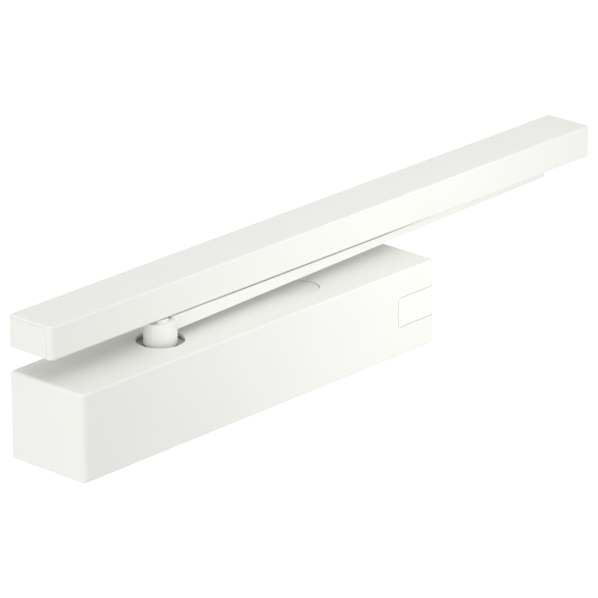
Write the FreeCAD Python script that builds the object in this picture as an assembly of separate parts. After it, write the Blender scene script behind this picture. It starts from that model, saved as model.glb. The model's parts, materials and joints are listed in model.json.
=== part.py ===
"""Overhead door closer with a slide rail: cam-action body, lever arm and rail.

Millimetres. X runs along the body, Y goes into the door, Z is up.
The origin is the middle of the body's back face, where it meets the door.
The door is closed: the lever arm lies under the rail, its end pin in the slide block.
"""
import FreeCAD, Part
import math
import os

# Body outside
BODY_LENGTH = 333.0
BODY_DEPTH = 64.0
BODY_HEIGHT = 60.0
COVER_WALL = 2.2
COVER_CORNER_RADIUS = 4.0
COVER_EDGE_RADIUS = 0.9
COVER_LOWER_EDGE_RADIUS = 1.0
COVER_FIT = 0.3
SPINDLE_FROM_END = 102.5
TOP_OPENING_RADIUS = 16.0
COVER_PAD_WIDTH = 3.0
COVER_PAD_SPACING = 92.0
BADGE_LENGTH = 36.4
BADGE_HEIGHT = 20.3
BADGE_RAISE = 0.75
BADGE_THICKNESS = 0.8
BADGE_CORNER_RADIUS = 2.0
BADGE_GAP = 0.35
CAP_RIM_GAP = 0.6
CAP_GAP = 0.15
CAP_FLANGE = 2.0
CAP_FLANGE_THICKNESS = 0.7
CAP_SKIN = 1.6
CAP_EDGE_RADIUS = 0.3

# Housing and its plate
PLATE_THICKNESS = 3.0
PLATE_SLOT_LENGTH = 44.0
PLATE_SLOT_HEIGHT = 18.0
HOUSING_ROOM = 1.3
HOUSING_FRONT_ROOM = 1.8
HOUSING_WALL = 4.0
HOUSING_CORNER_RADIUS = 4.0
END_ROOM = 18.8
LUG_ROOM = 2.3
LUG_DEPTH = 10.0
LUG_HEIGHT = 16.0
DOOR_HOLE_RADIUS = 2.75
DOOR_HOLE_SPACING_Z = 28.0
SCREW_SEAT_RADIUS = 5.2
SCREW_SEAT_DEPTH = 4.0
BOSS_WALL = 6.0
BOSS_DROP = 3.0
CLIP_THICKNESS = 0.8
CLIP_GAP = 0.5
CLIP_FOOT = 9.0
CLIP_LEAF = 24.0

# Spindle, cam and their bearings
SPINDLE_RADIUS = 7.0
SPINDLE_FIT = 0.03
DRIVE_CORNER_ROOM = 0.2
DRIVE_FIT = 0.05
CAM_WALL = 1.5
CAM_HALF_HEIGHT = 5.8
CAM_GAP = 0.15
STROKE_PER_HALF_TURN = 12.25
CAM_EDGE_STEPS = 16
CAM_TIP_HALVINGS = 40
SPACER_WALL = 1.2
SPACER_GAP = 0.1
BEARING_WALL = 4.0
BEARING_HEIGHT = 7.0
SEAL_HEIGHT = 2.0

# Piston carriage
PISTON_FIT = 0.08
SPRING_PISTON_LENGTH = 28.0
DAMPER_PISTON_LENGTH = 22.0
PISTON_RELIEF = 1.0
PISTON_LAND = 6.0
SPRING_BOSS_LENGTH = 6.0
ROLLER_RADIUS = 7.0
ROLLER_HALF_HEIGHT = 6.0
ROLLER_ROOM = 2.0
ROLLER_PIN_RADIUS = 3.0
ROLLER_FIT = 0.05
EAR_WALL = 3.5
EAR_GAP = 0.4
EAR_THICKNESS = 7.8
TIE_ROD_RADIUS = 2.5
TIE_ROD_ANGLE = 41.5
TIE_ROD_EDGE = 2.5
TIE_ROD_FIT = 0.05
TIE_ROD_HEAD_RADIUS = 4.2
TIE_ROD_HEAD_HEIGHT = 3.5
TIE_ROD_BITE = 18.0
PISTON_RING_WIDTH = 3.0
PISTON_RING_DEPTH = 2.5
CHECK_VALVE_RADIUS = 5.0
CHECK_VALVE_LENGTH = 12.0
CHECK_VALVE_PORT = 1.5

# Springs and their adjuster
OUTER_WIRE = 5.2
OUTER_TURNS = 10
INNER_WIRE = 3.8
INNER_TURNS = 12
COIL_RUNS = 16
WIRE_SIDES = 8
SPRING_GAP = 1.6
SEAT_THICKNESS = 6.0
SEAT_HUB_LENGTH = 14.0
SEAT_HUB_WALL = 2.0
ADJUSTER_RADIUS = 5.0
ADJUSTER_FIT = 0.05
ADJUSTER_COLLAR_WALL = 3.0
ADJUSTER_COLLAR_WIDTH = 2.5
ADJUSTER_REACH = 12.0
ADJUSTER_TAIL = 3.0
THRUST_GAP = 0.2
DRIVE_SOCKET_ACROSS = 5.0
DRIVE_SOCKET_DEPTH = 5.0

# End plugs
PLUG_DEPTH = 8.0
PLUG_FIT = 0.05
PLUG_FLANGE_WIDTH = 2.2
PLUG_FLANGE_THICKNESS = 4.0
PLUG_SOCKET_ACROSS = 17.0
PLUG_SOCKET_DEPTH = 6.0
PLUG_SPANNER_RADIUS = 2.5
PLUG_SPANNER_PLACE = 14.0
PLUG_SEAL_WIDTH = 2.6
PLUG_SEAL_DEPTH = 2.0

# Hydraulic valves
VALVE_RADIUS = 4.0
VALVE_HEAD_WIDTH = 1.0
VALVE_HEAD_HEIGHT = 2.5
VALVE_FIT = 0.05
VALVE_SPACING = 15.0
VALVE_FIRST = 8.0
VALVE_ABOVE_FOOT = 9.5
VALVE_LEAST_WALL = 1.1
VALVE_TIP_LENGTH = 1.6
VALVE_SLOT_WIDTH = 1.0
VALVE_SLOT_DEPTH = 1.2
VALVE_SEAL_WIDTH = 1.2
VALVE_SEAL_DEPTH = 1.0

# Lever arm
ARM_LENGTH = 383.2
ARM_WIDTH = 13.6
ARM_THICKNESS = 7.2
ARM_CLEARANCE = 5.8
ARM_OVERHANG = 9.5
ARM_CORNER_RADIUS = 1.0
HUB_RADIUS = 11.1
HUB_RISE = 0.5
HUB_GAP = 0.4
HUB_RIM_RADIUS = 0.4
HUB_ROOT_RADIUS = 5.0
HUB_ROOF = 2.6
ARM_SCREW_HEAD_RADIUS = 5.4
ARM_SCREW_HEAD_HEIGHT = 1.5
ARM_SCREW_SOCKET_DEPTH = 1.2
ARM_SCREW_RADIUS = 3.0
ARM_SCREW_LENGTH = 14.0
ARM_SCREW_FIT = 0.1

# Rail
RAIL_DEPTH = 36.8
RAIL_HEIGHT = 22.75
RAIL_CLEARANCE = 0.45
RAIL_OVERRUN = 43.0
RAIL_COVER_WALL = 1.8
RAIL_CORNER_RADIUS = 4.0
RAIL_EDGE_RADIUS = 0.9
RAIL_LOWER_EDGE_RADIUS = 0.5
RAIL_FIT = 0.3
RAIL_LIP = 1.0
RAIL_CAP_THICKNESS = 4.0
RAIL_CAP_TONGUE = 8.0
RAIL_CAP_GAP = 0.1
RAIL_SEAM_GAP = 0.25
TRACK_WALL = 2.2
TRACK_LIP = 2.5
TRACK_OFF_CENTRE = 0.9
TRACK_HOLE_RADIUS = 2.5
TRACK_ACCESS_RADIUS = 5.0
TRACK_HOLE_FROM_END = 40.0
TRACK_ROOF = 1.5
BUFFER_LENGTH = 7.0
BLOCK_LENGTH = 36.0
BLOCK_WIDTH = 17.0
BLOCK_HEIGHT = 8.4
BLOCK_FIT = 0.2
BLOCK_NECK_LENGTH = 26.0
BLOCK_NECK_WIDTH = 10.0
BLOCK_CORNER_RADIUS = 3.0
SLIDE_PIN_RADIUS = 4.0
SLIDE_PIN_COLLAR = 2.5
SLIDE_PIN_FIT = 0.05

# Places that follow from the sizes above
BODY_END = BODY_LENGTH / 2
BODY_TOP = BODY_HEIGHT / 2
COVER_INSIDE_END = BODY_END - COVER_WALL
COVER_INSIDE_TOP = BODY_TOP - COVER_WALL
AXIS_Y = -BODY_DEPTH / 2
SPINDLE_OFFSET = BODY_END - SPINDLE_FROM_END
SPINDLE_X = -SPINDLE_OFFSET
HOUSING_TOP = COVER_INSIDE_TOP - HOUSING_ROOM
HOUSING_FRONT = -BODY_DEPTH + COVER_WALL + HOUSING_FRONT_ROOM
HOUSING_END = COVER_INSIDE_END - END_ROOM
BORE_RADIUS = HOUSING_TOP - HOUSING_WALL
VALVE_BELOW_AXIS = HOUSING_TOP - VALVE_ABOVE_FOOT
BOSS_TOP = BODY_TOP - BOSS_DROP
LUG_END = COVER_INSIDE_END - LUG_ROOM
DOOR_HOLE_X = (HOUSING_END + LUG_END) / 2

DRIVE_SQUARE = math.sqrt(2) * (SPINDLE_RADIUS - DRIVE_CORNER_ROOM)
BEARING_RADIUS = SPINDLE_RADIUS + BEARING_WALL
BEARING_TOP = BOSS_TOP - SEAL_HEIGHT
BEARING_FOOT = BEARING_TOP - BEARING_HEIGHT

ROLLER_OFFSET = ROLLER_RADIUS + CAM_GAP
PITCH_START = SPINDLE_RADIUS + CAM_WALL + ROLLER_RADIUS
LIFT = STROKE_PER_HALF_TURN / math.pi
SPRING_ROLLER_X = SPINDLE_X + PITCH_START
DAMPER_ROLLER_X = SPINDLE_X - PITCH_START - STROKE_PER_HALF_TURN
PISTON_RADIUS = BORE_RADIUS - PISTON_FIT
TIE_ROD_CIRCLE = PISTON_RADIUS - TIE_ROD_EDGE - TIE_ROD_RADIUS
TIE_ROD_Y = TIE_ROD_CIRCLE * math.cos(math.radians(TIE_ROD_ANGLE))
TIE_ROD_Z = TIE_ROD_CIRCLE * math.sin(math.radians(TIE_ROD_ANGLE))
SPRING_PISTON_FACE = SPRING_ROLLER_X + ROLLER_RADIUS + ROLLER_ROOM
SPRING_PISTON_BACK = SPRING_PISTON_FACE + SPRING_PISTON_LENGTH
DAMPER_PISTON_FACE = DAMPER_ROLLER_X - ROLLER_RADIUS - ROLLER_ROOM
DAMPER_PISTON_BACK = DAMPER_PISTON_FACE - DAMPER_PISTON_LENGTH

PLUG_INNER = HOUSING_END - PLUG_DEPTH
COLLAR_END = PLUG_INNER - THRUST_GAP
COLLAR_START = COLLAR_END - ADJUSTER_COLLAR_WIDTH
SEAT_BACK = COLLAR_START - THRUST_GAP
SEAT_FACE = SEAT_BACK - SEAT_THICKNESS
SEAT_HUB_RADIUS = ADJUSTER_RADIUS + SEAT_HUB_WALL
OUTER_SPRING_RADIUS = PISTON_RADIUS - SPRING_GAP - OUTER_WIRE / 2
INNER_SPRING_RADIUS = OUTER_SPRING_RADIUS - OUTER_WIRE / 2 - SPRING_GAP - INNER_WIRE / 2

HUB_FOOT = BOSS_TOP + HUB_GAP
ARM_FOOT = BODY_TOP + ARM_CLEARANCE
ARM_TOP = ARM_FOOT + ARM_THICKNESS
HUB_TOP = ARM_TOP + HUB_RISE
ARM_SCREW_TOP = HUB_TOP + ARM_SCREW_HEAD_HEIGHT
SPINDLE_TOP = HUB_TOP - HUB_ROOF
RAIL_FOOT = ARM_SCREW_TOP + RAIL_CLEARANCE
RAIL_TOP = RAIL_FOOT + RAIL_HEIGHT
TRACK_Y = -RAIL_DEPTH / 2 + TRACK_OFF_CENTRE
PIVOT_X = SPINDLE_X + math.sqrt(ARM_LENGTH ** 2 - (TRACK_Y - AXIS_Y) ** 2)
ARM_ANGLE = math.degrees(math.atan2(TRACK_Y - AXIS_Y, PIVOT_X - SPINDLE_X))
RAIL_START = -BODY_END
RAIL_END = PIVOT_X + RAIL_OVERRUN
TRACK_START = RAIL_START + RAIL_CAP_THICKNESS
TRACK_END = RAIL_END - RAIL_CAP_THICKNESS
TRACK_TOP = RAIL_TOP - RAIL_COVER_WALL - RAIL_FIT
TRACK_FRONT = -RAIL_DEPTH + RAIL_COVER_WALL + RAIL_FIT
RAIL_WRAP_END = -RAIL_DEPTH + RAIL_CORNER_RADIUS
RAIL_LIP_END = RAIL_WRAP_END + RAIL_LIP
CHANNEL_FOOT = RAIL_FOOT + TRACK_LIP
CHANNEL_TOP = CHANNEL_FOOT + BLOCK_HEIGHT + 2 * BLOCK_FIT
CHANNEL_HALF = BLOCK_WIDTH / 2 + BLOCK_FIT
SLOT_HALF = BLOCK_NECK_WIDTH / 2 + BLOCK_FIT
SCREW_CHAMBER_FOOT = CHANNEL_TOP + TRACK_WALL
SCREW_CHAMBER_TOP = TRACK_TOP - TRACK_ROOF
TRACK_HOLE_Z = (SCREW_CHAMBER_FOOT + SCREW_CHAMBER_TOP) / 2

OVERSHOOT = 5.0
X_AXIS = FreeCAD.Vector(1, 0, 0)
Y_AXIS = FreeCAD.Vector(0, 1, 0)
Z_AXIS = FreeCAD.Vector(0, 0, 1)


def vec(x, y, z):
    return FreeCAD.Vector(x, y, z)


def box(x0, x1, y0, y1, z0, z1):
    """Box between two corners."""
    return Part.makeBox(x1 - x0, y1 - y0, z1 - z0, vec(x0, y0, z0))


def bar_x(x0, x1, y, z, radius):
    """Round bar along X."""
    return Part.makeCylinder(radius, x1 - x0, vec(x0, y, z), X_AXIS)


def bar_y(x, y0, y1, z, radius):
    """Round bar along Y."""
    return Part.makeCylinder(radius, y1 - y0, vec(x, y0, z), Y_AXIS)


def bar_z(x, y, z0, z1, radius):
    """Round bar along Z."""
    return Part.makeCylinder(radius, z1 - z0, vec(x, y, z0), Z_AXIS)


def turned(start, axis, outline):
    """Solid of revolution: outline gives (place along the axis, radius) pairs."""
    across = axis.cross(Z_AXIS)
    if across.Length < 0.5:
        across = X_AXIS
    points = [start + axis * place + across * radius for place, radius in outline]
    face = Part.Face(Part.makePolygon(points + points[:1]))
    return face.revolve(start, axis, 360)


def ring(start, axis, length, outer, inner):
    """Plain ring along an axis."""
    return turned(start, axis, [(0, inner), (0, outer), (length, outer), (length, inner)])


def hexagon(start, axis, across_flats, depth):
    """Hexagonal prism from a start point, for drive sockets."""
    corner = across_flats / math.sqrt(3)
    first = Z_AXIS if abs(axis.z) < 0.5 else X_AXIS
    second = axis.cross(first)
    points = []
    for step in range(6):
        angle = math.radians(60 * step)
        points.append(start + first * (corner * math.cos(angle)) + second * (corner * math.sin(angle)))
    return Part.Face(Part.makePolygon(points + points[:1])).extrude(axis * depth)


def straight_edges(shape, direction, keep):
    """Straight edges along a direction whose middle passes the keep test."""
    found = []
    for edge in shape.Edges:
        along = edge.Vertexes[-1].Point - edge.Vertexes[0].Point
        if along.Length > 0 and abs(along.normalize().dot(direction)) > 0.999 and keep(edge.CenterOfMass):
            found.append(edge)
    return found


def rim(shape, level):
    """Edges of a block at a level, but for the back one."""
    near = 1e-3
    found = []
    for edge in shape.Edges:
        flat = abs(edge.BoundBox.ZMin - level) < near and abs(edge.BoundBox.ZMax - level) < near
        if flat and edge.CenterOfMass.y < -near:
            found.append(edge)
    return found


def rounded_case(block, front, corner, edge, lower_edge):
    """Block with its two front corners rounded and its upper and lower edges eased."""
    block = block.makeFillet(corner, straight_edges(block, Z_AXIS, lambda c: c.y < front / 2))
    block = block.makeFillet(edge, rim(block, block.BoundBox.ZMax))
    return block.makeFillet(lower_edge, rim(block, block.BoundBox.ZMin))


def case(inset, corner, edge, lower_edge):
    """Outside of the body's cover, or a layer at a depth below it."""
    end = BODY_END - inset
    front = -BODY_DEPTH + inset
    block = box(-end, end, front, 0, -BODY_TOP + inset, BODY_TOP - inset)
    return rounded_case(block, front, corner, edge, lower_edge)


def badge_zone(grow):
    """Block that marks out the badge on the right end of the cover's front."""
    x0 = BODY_END - BADGE_LENGTH - grow
    half = BADGE_HEIGHT / 2 + grow
    wrap = -BODY_DEPTH + COVER_CORNER_RADIUS + grow
    foot = BADGE_RAISE - half
    zone = box(x0, BODY_END + OVERSHOOT, -BODY_DEPTH - OVERSHOOT, wrap, foot, foot + 2 * half)
    edges = straight_edges(zone, Y_AXIS, lambda c: c.x < x0 + COVER_FIT)
    return zone.makeFillet(BADGE_CORNER_RADIUS + grow, edges)


def badge_skin():
    """Outer layer of the cover, as thick as the badge plate."""
    outside = case(0, COVER_CORNER_RADIUS, COVER_EDGE_RADIUS, COVER_LOWER_EDGE_RADIUS)
    inner_corner = COVER_CORNER_RADIUS - BADGE_THICKNESS
    inside = case(BADGE_THICKNESS, inner_corner, COVER_EDGE_RADIUS / 2, COVER_LOWER_EDGE_RADIUS / 2)
    return outside.cut(inside)


def body_cover():
    """Moulded shell, open at the back, with two top openings and locating pads inside."""
    shell = case(0, COVER_CORNER_RADIUS, COVER_EDGE_RADIUS, COVER_LOWER_EDGE_RADIUS)
    inner_corner = COVER_CORNER_RADIUS - COVER_WALL
    shell = shell.cut(case(COVER_WALL, inner_corner, COVER_EDGE_RADIUS / 2, COVER_LOWER_EDGE_RADIUS / 2))
    for x in (-SPINDLE_OFFSET, SPINDLE_OFFSET):
        shell = shell.cut(bar_z(x, AXIS_Y, 0, BODY_TOP + OVERSHOOT, TOP_OPENING_RADIUS))
    pad_face = HOUSING_FRONT - COVER_FIT
    pads = []
    for step in (-1, 0, 1):
        middle = step * COVER_PAD_SPACING
        half = COVER_PAD_WIDTH / 2
        front = -BODY_DEPTH + COVER_WALL / 2
        pads.append(box(middle - half, middle + half, front, pad_face, -HOUSING_TOP / 2, HOUSING_TOP / 2))
    shell = shell.fuse(pads).removeSplitter()
    return shell.cut(badge_skin().common(badge_zone(BADGE_GAP)))


def badge_plate():
    """Bare plate let into the cover's front, bent round its right edge."""
    return badge_skin().common(badge_zone(0))


def blanking_cap():
    """Flush cap that closes the unused top opening, pushed in from inside."""
    cap_radius = TOP_OPENING_RADIUS - CAP_RIM_GAP
    flange = TOP_OPENING_RADIUS + CAP_FLANGE
    flange_top = COVER_INSIDE_TOP - CAP_GAP
    flange_foot = flange_top - CAP_FLANGE_THICKNESS
    hollow = TOP_OPENING_RADIUS - CAP_FLANGE
    outline = [
        (BODY_TOP, 0),
        (BODY_TOP, cap_radius - CAP_EDGE_RADIUS),
        (BODY_TOP - CAP_EDGE_RADIUS, cap_radius),
        (flange_top, cap_radius),
        (flange_top, flange),
        (flange_foot, flange),
        (flange_foot, hollow),
        (BODY_TOP - CAP_SKIN, hollow),
        (BODY_TOP - CAP_SKIN, 0),
    ]
    return turned(vec(SPINDLE_OFFSET, AXIS_Y, 0), Z_AXIS, outline)


def door_holes(y0, y1, radius):
    """Bars at the four door screw places."""
    half = DOOR_HOLE_SPACING_Z / 2
    return [bar_y(x, y0, y1, z, radius) for x in (-DOOR_HOLE_X, DOOR_HOLE_X) for z in (-half, half)]


def mounting_plate():
    """Steel plate that is screwed to the door and carries the housing."""
    end = COVER_INSIDE_END - COVER_FIT
    top = COVER_INSIDE_TOP - COVER_FIT
    plate = box(-end, end, -PLATE_THICKNESS, 0, -top, top)
    plate = plate.makeFillet(HOUSING_CORNER_RADIUS, straight_edges(plate, Y_AXIS, lambda c: True))
    slot_half = PLATE_SLOT_HEIGHT / 2
    reach = PLATE_SLOT_LENGTH / 2
    for x in (-SPINDLE_OFFSET, SPINDLE_OFFSET):
        slot = box(x - reach, x + reach, -BODY_DEPTH, OVERSHOOT, -slot_half, slot_half)
        slot = slot.makeFillet(HOUSING_CORNER_RADIUS, straight_edges(slot, Y_AXIS, lambda c: True))
        plate = plate.cut(slot)
    return plate.cut(door_holes(-PLATE_THICKNESS - OVERSHOOT, OVERSHOOT, DOOR_HOLE_RADIUS))


def valve_places():
    """X of the four valve screws, from the damper end inwards."""
    return [-HOUSING_END + VALVE_FIRST + VALVE_SPACING * step for step in range(4)]


def valve_floor():
    """Y where the valve bores end, short of the main bore."""
    reach = VALVE_BELOW_AXIS - VALVE_RADIUS - VALVE_FIT
    return AXIS_Y - math.sqrt(BORE_RADIUS ** 2 - reach ** 2) - VALVE_LEAST_WALL


def closer_housing():
    """Bored block with end lugs, spindle bosses and valve bores."""
    back = -PLATE_THICKNESS
    block = box(-HOUSING_END, HOUSING_END, HOUSING_FRONT, back, -HOUSING_TOP, HOUSING_TOP)
    block = block.makeFillet(
        HOUSING_CORNER_RADIUS, straight_edges(block, X_AXIS, lambda c: c.y < HOUSING_FRONT + COVER_FIT)
    )
    pieces = [bar_z(SPINDLE_X, AXIS_Y, -BOSS_TOP, BOSS_TOP, BEARING_RADIUS + BOSS_WALL)]
    for side in (-1, 1):
        foot = side * DOOR_HOLE_SPACING_Z / 2 - LUG_HEIGHT / 2
        lug = box(-LUG_END, LUG_END, back - LUG_DEPTH, back, foot, foot + LUG_HEIGHT)
        pieces.append(lug.makeFillet(HOUSING_CORNER_RADIUS, straight_edges(lug, Y_AXIS, lambda c: True)))
    block = block.fuse(pieces).removeSplitter()
    flange_room = BORE_RADIUS + PLUG_FLANGE_WIDTH + COVER_FIT
    cuts = [
        bar_x(-HOUSING_END - OVERSHOOT, HOUSING_END + OVERSHOOT, AXIS_Y, 0, BORE_RADIUS),
        bar_x(-BODY_END, -HOUSING_END, AXIS_Y, 0, flange_room),
        bar_x(HOUSING_END, BODY_END, AXIS_Y, 0, flange_room),
        bar_z(SPINDLE_X, AXIS_Y, -BODY_HEIGHT, BODY_HEIGHT, BEARING_RADIUS),
    ]
    cuts += door_holes(back - LUG_DEPTH - OVERSHOOT, OVERSHOOT, DOOR_HOLE_RADIUS)
    seat_end = back - LUG_DEPTH + SCREW_SEAT_DEPTH
    cuts += door_holes(back - LUG_DEPTH - OVERSHOOT, seat_end, SCREW_SEAT_RADIUS)
    outside = HOUSING_FRONT - OVERSHOOT
    bore = VALVE_RADIUS + VALVE_FIT
    mouth = bore + VALVE_HEAD_WIDTH
    mouth_floor = HOUSING_FRONT + VALVE_HEAD_HEIGHT
    for x in valve_places():
        cuts.append(bar_y(x, outside, valve_floor(), -VALVE_BELOW_AXIS, bore))
        cuts.append(bar_y(x, outside, mouth_floor, -VALVE_BELOW_AXIS, mouth))
    return block.cut(cuts)


def cover_clip(side):
    """Spring steel leaf on the plate, between two lugs, that grips the cover's end wall."""
    foot_y = -PLATE_THICKNESS
    half = (DOOR_HOLE_SPACING_Z - LUG_HEIGHT) / 2 - CLIP_GAP
    leaf_x = COVER_INSIDE_END - COVER_FIT
    foot = box(leaf_x - CLIP_FOOT, leaf_x, foot_y - CLIP_THICKNESS, foot_y, -half, half)
    leaf = box(leaf_x - CLIP_THICKNESS, leaf_x, foot_y - CLIP_LEAF, foot_y, -half, half)
    clip = foot.fuse(leaf).removeSplitter()
    bend = straight_edges(clip, Z_AXIS, lambda c: c.x > leaf_x - COVER_FIT and c.y > foot_y - COVER_FIT)
    clip = clip.makeFillet(CLIP_THICKNESS, bend)
    if side < 0:
        clip = clip.mirror(vec(0, 0, 0), X_AXIS)
    return clip


def end_plug(side):
    """Threaded plug that closes one end of the main bore, with a seal groove."""
    start = vec(side * PLUG_INNER, AXIS_Y, 0)
    axis = X_AXIS * side
    radius = BORE_RADIUS - PLUG_FIT
    flange = BORE_RADIUS + PLUG_FLANGE_WIDTH
    groove_start = (PLUG_DEPTH - PLUG_SEAL_WIDTH) / 2
    groove_end = groove_start + PLUG_SEAL_WIDTH
    outline = [
        (0, 0),
        (0, radius),
        (groove_start, radius),
        (groove_start, radius - PLUG_SEAL_DEPTH),
        (groove_end, radius - PLUG_SEAL_DEPTH),
        (groove_end, radius),
        (PLUG_DEPTH, radius),
        (PLUG_DEPTH, flange),
        (PLUG_DEPTH + PLUG_FLANGE_THICKNESS, flange),
        (PLUG_DEPTH + PLUG_FLANGE_THICKNESS, 0),
    ]
    return turned(start, axis, outline)


def damper_end_plug():
    """Plug of the damper end, turned with a hexagon key."""
    outer = vec(-HOUSING_END - PLUG_FLANGE_THICKNESS, AXIS_Y, 0)
    return end_plug(-1).cut(hexagon(outer, X_AXIS, PLUG_SOCKET_ACROSS, PLUG_SOCKET_DEPTH))


def spring_end_plug():
    """Plug of the spring end, with the adjuster through it and two spanner holes."""
    outer = HOUSING_END + PLUG_FLANGE_THICKNESS
    cuts = [bar_x(PLUG_INNER - OVERSHOOT, outer + OVERSHOOT, AXIS_Y, 0, ADJUSTER_RADIUS + ADJUSTER_FIT)]
    for z in (-PLUG_SPANNER_PLACE, PLUG_SPANNER_PLACE):
        cuts.append(bar_x(outer - PLUG_FLANGE_THICKNESS, outer + OVERSHOOT, AXIS_Y, z, PLUG_SPANNER_RADIUS))
    return end_plug(1).cut(cuts)


def end_plug_seals():
    """One seal ring in each plug's groove."""
    inner = BORE_RADIUS - PLUG_FIT - PLUG_SEAL_DEPTH
    groove_start = PLUG_INNER + (PLUG_DEPTH - PLUG_SEAL_WIDTH) / 2
    right = ring(vec(groove_start, AXIS_Y, 0), X_AXIS, PLUG_SEAL_WIDTH, BORE_RADIUS - PLUG_FIT, inner)
    return Part.makeCompound([right, right.mirror(vec(0, 0, 0), X_AXIS)])


def spindle():
    """Shaft across the bore, with a square drive for the arm and a tapped end."""
    shaft = bar_z(SPINDLE_X, AXIS_Y, -BOSS_TOP, BOSS_TOP, SPINDLE_RADIUS)
    half = DRIVE_SQUARE / 2
    square = box(
        SPINDLE_X - half, SPINDLE_X + half, AXIS_Y - half, AXIS_Y + half, BOSS_TOP - HUB_GAP, SPINDLE_TOP
    )
    square.rotate(vec(SPINDLE_X, AXIS_Y, 0), Z_AXIS, ARM_ANGLE)
    tapped = bar_z(SPINDLE_X, AXIS_Y, HUB_TOP - ARM_SCREW_LENGTH, SPINDLE_TOP + OVERSHOOT, ARM_SCREW_RADIUS)
    return shaft.fuse(square).removeSplitter().cut(tapped)


def cam_edge(turn):
    """Point of the cam's upper edge under the roller, turned by an angle from the notch."""
    radius = PITCH_START + LIFT * turn
    tangent = vec(
        LIFT * math.cos(turn) - radius * math.sin(turn), LIFT * math.sin(turn) + radius * math.cos(turn), 0
    )
    inward = vec(-tangent.y, tangent.x, 0).normalize()
    return vec(radius * math.cos(turn), radius * math.sin(turn), 0) + inward * ROLLER_OFFSET


def cam_tip_turn():
    """Turn at which the upper edge meets the cam's line of symmetry."""
    low = math.pi / 2
    high = math.pi
    for _ in range(CAM_TIP_HALVINGS):
        middle = (low + high) / 2
        if cam_edge(middle).y > 0:
            low = middle
        else:
            high = middle
    return low


def heart_cam():
    """Heart cam: equal lift per radian on both halves, so opposite rollers keep their distance."""
    last = cam_tip_turn()
    upper = [cam_edge(last * step / CAM_EDGE_STEPS) for step in range(CAM_EDGE_STEPS)]
    tip = vec(cam_edge(last).x, 0, 0)
    upper.append(tip)
    lower = [vec(p.x, -p.y, 0) for p in reversed(upper)]
    curves = []
    for points in (upper, lower):
        curve = Part.BSplineCurve()
        curve.interpolate(points)
        curves.append(curve.toShape())
    notch = Part.Arc(lower[-1], vec(PITCH_START - ROLLER_OFFSET, 0, 0), upper[0]).toShape()
    face = Part.Face(Part.Wire(curves + [notch]))
    cam = face.extrude(Z_AXIS * (2 * CAM_HALF_HEIGHT))
    cam.translate(vec(SPINDLE_X, AXIS_Y, -CAM_HALF_HEIGHT))
    return cam.cut(bar_z(SPINDLE_X, AXIS_Y, -BODY_HEIGHT, BODY_HEIGHT, SPINDLE_RADIUS))


def both_ends(lower_place, upper_place, outer, inner):
    """Ring on the spindle above the axis and its copy below."""
    start = vec(SPINDLE_X, AXIS_Y, lower_place)
    upper = ring(start, Z_AXIS, upper_place - lower_place, outer, inner)
    return upper, upper.mirror(vec(0, 0, 0), Z_AXIS)


def spindle_spacers():
    """Sleeves that keep the cam between the bearings."""
    sleeves = both_ends(
        CAM_HALF_HEIGHT, BEARING_FOOT - SPACER_GAP, SPINDLE_RADIUS + SPACER_WALL, SPINDLE_RADIUS + SPINDLE_FIT
    )
    return Part.makeCompound(list(sleeves))


def spindle_bearings():
    """Upper and lower bearing rings."""
    return both_ends(BEARING_FOOT, BEARING_TOP, BEARING_RADIUS, SPINDLE_RADIUS + SPINDLE_FIT)


def spindle_seals():
    """Upper and lower seal rings, outside the bearings."""
    return both_ends(BEARING_TOP, BOSS_TOP, BEARING_RADIUS, SPINDLE_RADIUS + SPINDLE_FIT)


def tie_rod_places():
    """The four tie rod centres as offsets from the bore axis."""
    return [(y, z) for y in (-TIE_ROD_Y, TIE_ROD_Y) for z in (-TIE_ROD_Z, TIE_ROD_Z)]


def tie_rod_end():
    """X where the tie rods end inside the spring piston."""
    return SPRING_PISTON_FACE + TIE_ROD_BITE


def tie_rods():
    """Four rods that keep the two pistons a fixed distance apart."""
    rods = []
    for y, z in tie_rod_places():
        shank = bar_x(DAMPER_PISTON_BACK, tie_rod_end(), AXIS_Y + y, z, TIE_ROD_RADIUS)
        head = bar_x(
            DAMPER_PISTON_BACK, DAMPER_PISTON_BACK + TIE_ROD_HEAD_HEIGHT, AXIS_Y + y, z, TIE_ROD_HEAD_RADIUS
        )
        rods.append(shank.fuse(head).removeSplitter())
    return Part.makeCompound(rods)


def piston_ears(roller_x, face):
    """Fork that carries a roller pin in front of a piston."""
    half = ROLLER_PIN_RADIUS + EAR_WALL
    foot = ROLLER_HALF_HEIGHT + EAR_GAP
    ears = []
    for side in (-1, 1):
        z0, z1 = sorted((side * foot, side * (foot + EAR_THICKNESS)))
        x0, x1 = sorted((roller_x, face))
        ears.append(box(x0, x1, AXIS_Y - half, AXIS_Y + half, z0, z1))
        ears.append(bar_z(roller_x, AXIS_Y, z0, z1, half))
    return ears


def piston(roller_x, face, back):
    """Piston body with a relieved middle, a fork and tie rod holes."""
    side = 1 if back > face else -1
    length = abs(back - face)
    relief = PISTON_RADIUS - PISTON_RELIEF
    outline = [
        (0, 0),
        (0, PISTON_RADIUS),
        (PISTON_LAND, PISTON_RADIUS),
        (PISTON_LAND, relief),
        (length - PISTON_LAND, relief),
        (length - PISTON_LAND, PISTON_RADIUS),
        (length, PISTON_RADIUS),
        (length, 0),
    ]
    body = turned(vec(face, AXIS_Y, 0), X_AXIS * side, outline)
    body = body.fuse(piston_ears(roller_x, face)).removeSplitter()
    cuts = [bar_z(roller_x, AXIS_Y, -BODY_HEIGHT, BODY_HEIGHT, ROLLER_PIN_RADIUS)]
    rod_room = TIE_ROD_RADIUS + TIE_ROD_FIT
    for y, z in tie_rod_places():
        cuts.append(bar_x(DAMPER_PISTON_BACK - OVERSHOOT, tie_rod_end(), AXIS_Y + y, z, rod_room))
    return body.cut(cuts)


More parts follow.
